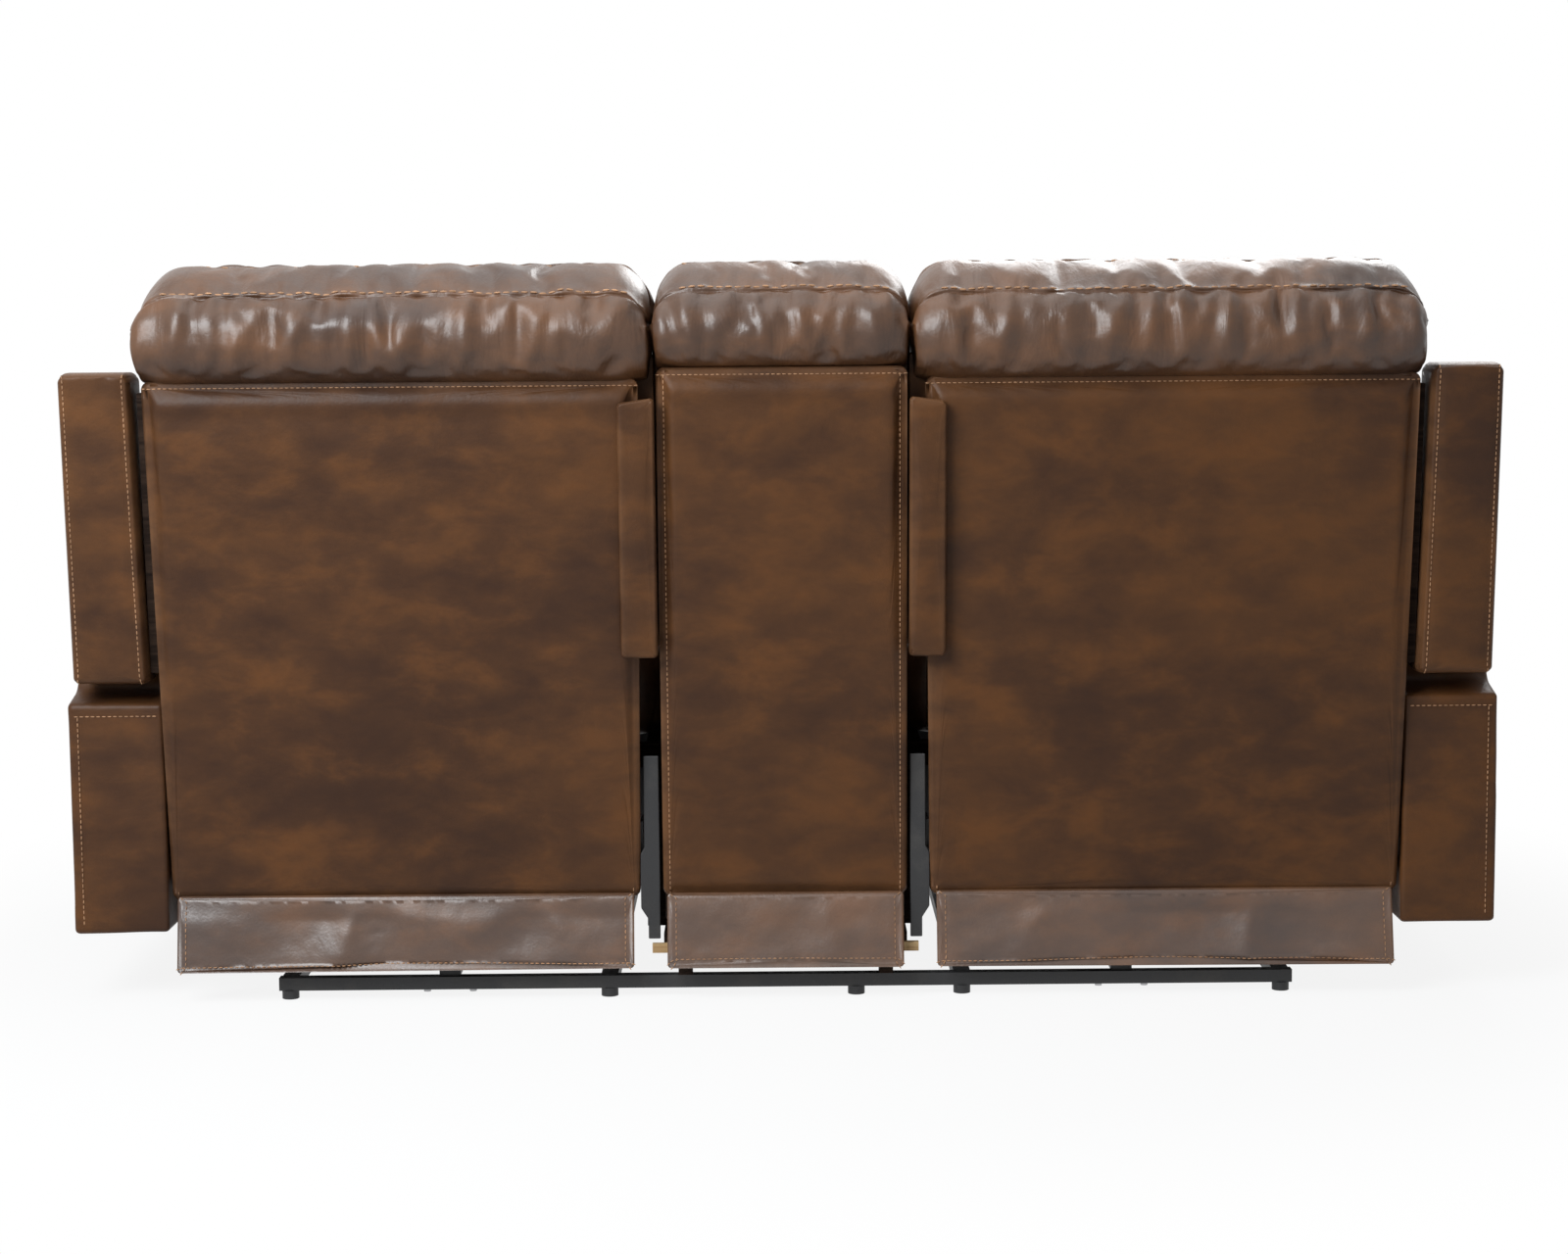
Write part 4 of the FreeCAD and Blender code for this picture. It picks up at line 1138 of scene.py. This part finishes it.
def finish_nodes():
    """Give every CAD node that stays the finish of its material slot."""
    slots = {part["node"]: part["material_slot"] for part in frame["record"]["subparts"]}
    for node, item in frame["nodes"].items():
        name, maker = FINISHES[slots[node]]
        item.data.materials.clear()
        item.data.materials.append(material(name, maker))


# Stage
def backdrop(name):
    """Pale floor that looks white to the camera and in reflections but keeps the shadow near the sofa."""
    grey, shadow_reach, white_from = 0.72, 1.0, 1.7
    shader = Shader(name, **{"Base Color": (grey, grey, grey), "Roughness": 0.9, "Specular IOR Level": 0.1})
    white = shader.node("ShaderNodeEmission", {}, {"Color": (1, 1, 1), "Strength": 1.0})
    distance = shader.node("ShaderNodeVectorMath", {"operation": "LENGTH"}, {0: shader.coordinates})
    away = shader.remap(distance.outputs["Value"], shadow_reach, white_from, 0.88, 1.0)
    blend = shader.node("ShaderNodeMixShader", {}, {
        0: shader.seen() * away, 1: shader.surface.outputs[0], 2: white.outputs[0]})
    shader.feed(shader.output.inputs["Surface"], blend.outputs[0])
    return shader.material


def white_room(strength):
    """A world that looks white but lights the sofa with a weaker, even light."""
    world = bpy.data.worlds.new("room")
    world.use_nodes = True
    nodes = Nodes(world.node_tree)
    lit, shown = (nodes.node("ShaderNodeBackground", {}, {"Color": (1, 1, 1), "Strength": power}).outputs[0]
                  for power in (strength, 1.0))
    blend = nodes.node("ShaderNodeMixShader", {}, {0: nodes.seen(), 1: lit, 2: shown})
    nodes.node("ShaderNodeOutputWorld", {}, {"Surface": blend.outputs[0]})
    return world


def area_light(name, place, target, size, power, tint=(1, 1, 1)):
    """A square soft light that looks at a point."""
    data = bpy.data.lights.new(name, "AREA")
    data.size = size
    data.energy = power
    data.color = tint
    lamp = link(name, data)
    lamp.location = place
    lamp.rotation_euler = (Vector(target) - Vector(place)).to_track_quat("-Z", "Y").to_euler()


def stage():
    """Floor, lights and the camera."""
    scene = bpy.context.scene
    look = scene.sofa_stage
    reach = 30
    mesh = bpy.data.meshes.new("floor")
    mesh.from_pydata([(-reach, -reach, 0), (reach, -reach, 0), (reach, reach, 0), (-reach, reach, 0)], [],
                     [(0, 1, 2, 3)])
    mesh.materials.append(material("pale_floor", backdrop))
    link("floor", mesh)
    area_light("top_light", (0.2, 0.3, 3.2), (0, 0.1, 0.5), 2.4, look.key)
    area_light("rear_light", (1.5, 2.3, 2.30), (0.1, 0.4, 0.9), 1.7, look.rear, (0.93, 0.97, 1.0))
    area_light("front_light", (-1.2, -3.2, 2.6), (0, 0, 0.5), 2.0, look.front)
    scene.world = white_room(look.world)
    data = bpy.data.cameras.new("camera")
    data.sensor_width = 36
    data.lens = look.lens
    camera = link("camera", data)
    level = math.cos(look.pitch)
    ahead = Vector((math.sin(look.yaw) * level, -math.cos(look.yaw) * level, -math.sin(look.pitch)))
    right = ahead.cross(Vector((0, 0, 1))).normalized()
    up = right.cross(ahead)
    turned_right = right * math.cos(look.roll) + up * math.sin(look.roll)
    turned_up = up * math.cos(look.roll) - right * math.sin(look.roll)
    place = Matrix((turned_right, turned_up, -ahead)).transposed().to_4x4()
    place.translation = Vector(look.camera_place)
    camera.matrix_world = place
    scene.camera = camera
    scene.view_settings.view_transform = "Standard"


# Operators
class SOFA_OT_rear_panels(bpy.types.Operator):
    """Make the three rear panels"""
    bl_idname = "sofa.rear_panels"
    bl_label = "Rear Panels"

    def execute(self, context):
        for side, name in SIDES:
            rear_panel(f"{name}_back_panel", f"{name}_back", 0.024, 0.42)
        rear_panel("console_back_panel", "frame", -0.006, 0.62)
        return {"FINISHED"}


class SOFA_OT_flaps(bpy.types.Operator):
    """Make the loose flaps below the rear panels"""
    bl_idname = "sofa.flaps"
    bl_label = "Flaps"

    def execute(self, context):
        for side, name in SIDES:
            hanging_flap(f"{name}_back_flap", f"{name}_flap", f"{name}_back")
        hanging_flap("console_back_flap", "frame")
        return {"FINISHED"}


class SOFA_OT_wings(bpy.types.Operator):
    """Make the pads beside the reclining backs"""
    bl_idname = "sofa.wings"
    bl_label = "Wings"

    def execute(self, context):
        for side, name in SIDES:
            wing(f"{name}_outer_wing", f"{name}_back", 0.090, 0.011, 0.012, 0.010, taper=0.06)
            wing(f"{name}_inner_wing", f"{name}_back", 0.019, 0.006, 0.001, 0.006, reach=0.0025,
                 slant=0.007)
        return {"FINISHED"}


class SOFA_OT_head_rolls(bpy.types.Operator):
    """Make the three head rolls"""
    bl_idname = "sofa.head_rolls"
    bl_label = "Head Rolls"

    def execute(self, context):
        loose = context.scene.sofa_padding.looseness
        for side, name in SIDES:
            head_roll(f"{name}_head_cushion", f"{name}_back", loose, 31 + side)
        head_roll("console_head_cushion", "frame", loose, 34)
        return {"FINISHED"}


class SOFA_OT_arms(bpy.types.Operator):
    """Make the arm covers and the pillows on them"""
    bl_idname = "sofa.arms"
    bl_label = "Arms"

    def execute(self, context):
        for side, name in SIDES:
            arm_cover(side, name)
            arm_pad(side, name)
        return {"FINISHED"}


class SOFA_OT_cushions(bpy.types.Operator):
    """Make the seat, back and footrest cushions"""
    bl_idname = "sofa.cushions"
    bl_label = "Cushions"

    def execute(self, context):
        for side, name in SIDES:
            cushion(f"{name}_seat_cushion", "frame", 2, 0.045, 3.0, ((0.30, 0.018),), 0.010, 71)
            cushion(f"{name}_back_cushion", f"{name}_back", 1, 0.055, 2.6, ((0.52, 0.024),), 0.008, 81)
            cushion(f"{name}_footrest_pad", f"{name}_footrest", 1, 0.030, 2.6, (), 0.006, 91)
        cushion("console_back_cushion", "frame", 1, 0.055, 2.6, ((0.5, 0.02),), 0.008, 101, overhang=0.0055)
        return {"FINISHED"}


class SOFA_OT_console(bpy.types.Operator):
    """Make the console's leather boards and lid"""
    bl_idname = "sofa.console"
    bl_label = "Console"

    def execute(self, context):
        console_cover()
        console_lid()
        for side, name in SIDES:
            gap_bracket(side, name)
            gusset(f"console_{name}_gusset", "frame", side, (0.164, 0.1778), (0.402, 0.414),
                   (0.500, 0.925))
            gusset(f"{name}_back_gusset", f"{name}_back", side, (0.175, 0.2100), (0.420, 0.432),
                   (0.560, 0.908))
        return {"FINISHED"}


class SOFA_OT_stitches(bpy.types.Operator):
    """Sew every seam"""
    bl_idname = "sofa.stitches"
    bl_label = "Stitches"

    def execute(self, context):
        stitches()
        return {"FINISHED"}


class SOFA_OT_finishes(bpy.types.Operator):
    """Give the carried-over pieces their finish"""
    bl_idname = "sofa.finishes"
    bl_label = "Finishes"

    def execute(self, context):
        finish_nodes()
        return {"FINISHED"}


class SOFA_OT_stage(bpy.types.Operator):
    """Make the floor, the lights and the camera"""
    bl_idname = "sofa.stage"
    bl_label = "Stage"

    def execute(self, context):
        stage()
        return {"FINISHED"}


OPERATORS = (SOFA_OT_rear_panels, SOFA_OT_flaps, SOFA_OT_wings, SOFA_OT_head_rolls, SOFA_OT_arms,
             SOFA_OT_cushions, SOFA_OT_console, SOFA_OT_stitches, SOFA_OT_finishes, SOFA_OT_stage)


class SOFA_PT_pieces(bpy.types.Panel):
    """Lists the sofa's pieces"""
    bl_idname = "SOFA_PT_pieces"
    bl_label = "Reclining Sofa"
    bl_space_type = "VIEW_3D"
    bl_region_type = "UI"
    bl_category = "Sofa"

    def draw(self, context):
        for operator in OPERATORS:
            self.layout.operator(operator.bl_idname)
        for group in (context.scene.sofa_leather, context.scene.sofa_padding, context.scene.sofa_stitching,
                      context.scene.sofa_stage):
            for field in group.bl_rna.properties:
                if field.identifier not in ("rna_type", "name"):
                    self.layout.prop(group, field.identifier)


GROUPS = (("sofa_leather", SofaLeather), ("sofa_padding", SofaPadding), ("sofa_stitching", SofaStitching),
          ("sofa_stage", SofaStage))


def register():
    for field, group in GROUPS:
        bpy.utils.register_class(group)
        setattr(bpy.types.Scene, field, bpy.props.PointerProperty(type=group))
    for kind in (*OPERATORS, SOFA_PT_pieces):
        bpy.utils.register_class(kind)


def unregister():
    for kind in (SOFA_PT_pieces, *reversed(OPERATORS)):
        bpy.utils.unregister_class(kind)
    for field, group in reversed(GROUPS):
        delattr(bpy.types.Scene, field)
        bpy.utils.unregister_class(group)


def main():
    register()
    for operator in OPERATORS:
        category, action = operator.bl_idname.split(".")
        getattr(getattr(bpy.ops, category), action)()


if __name__ == "__main__":
    main()
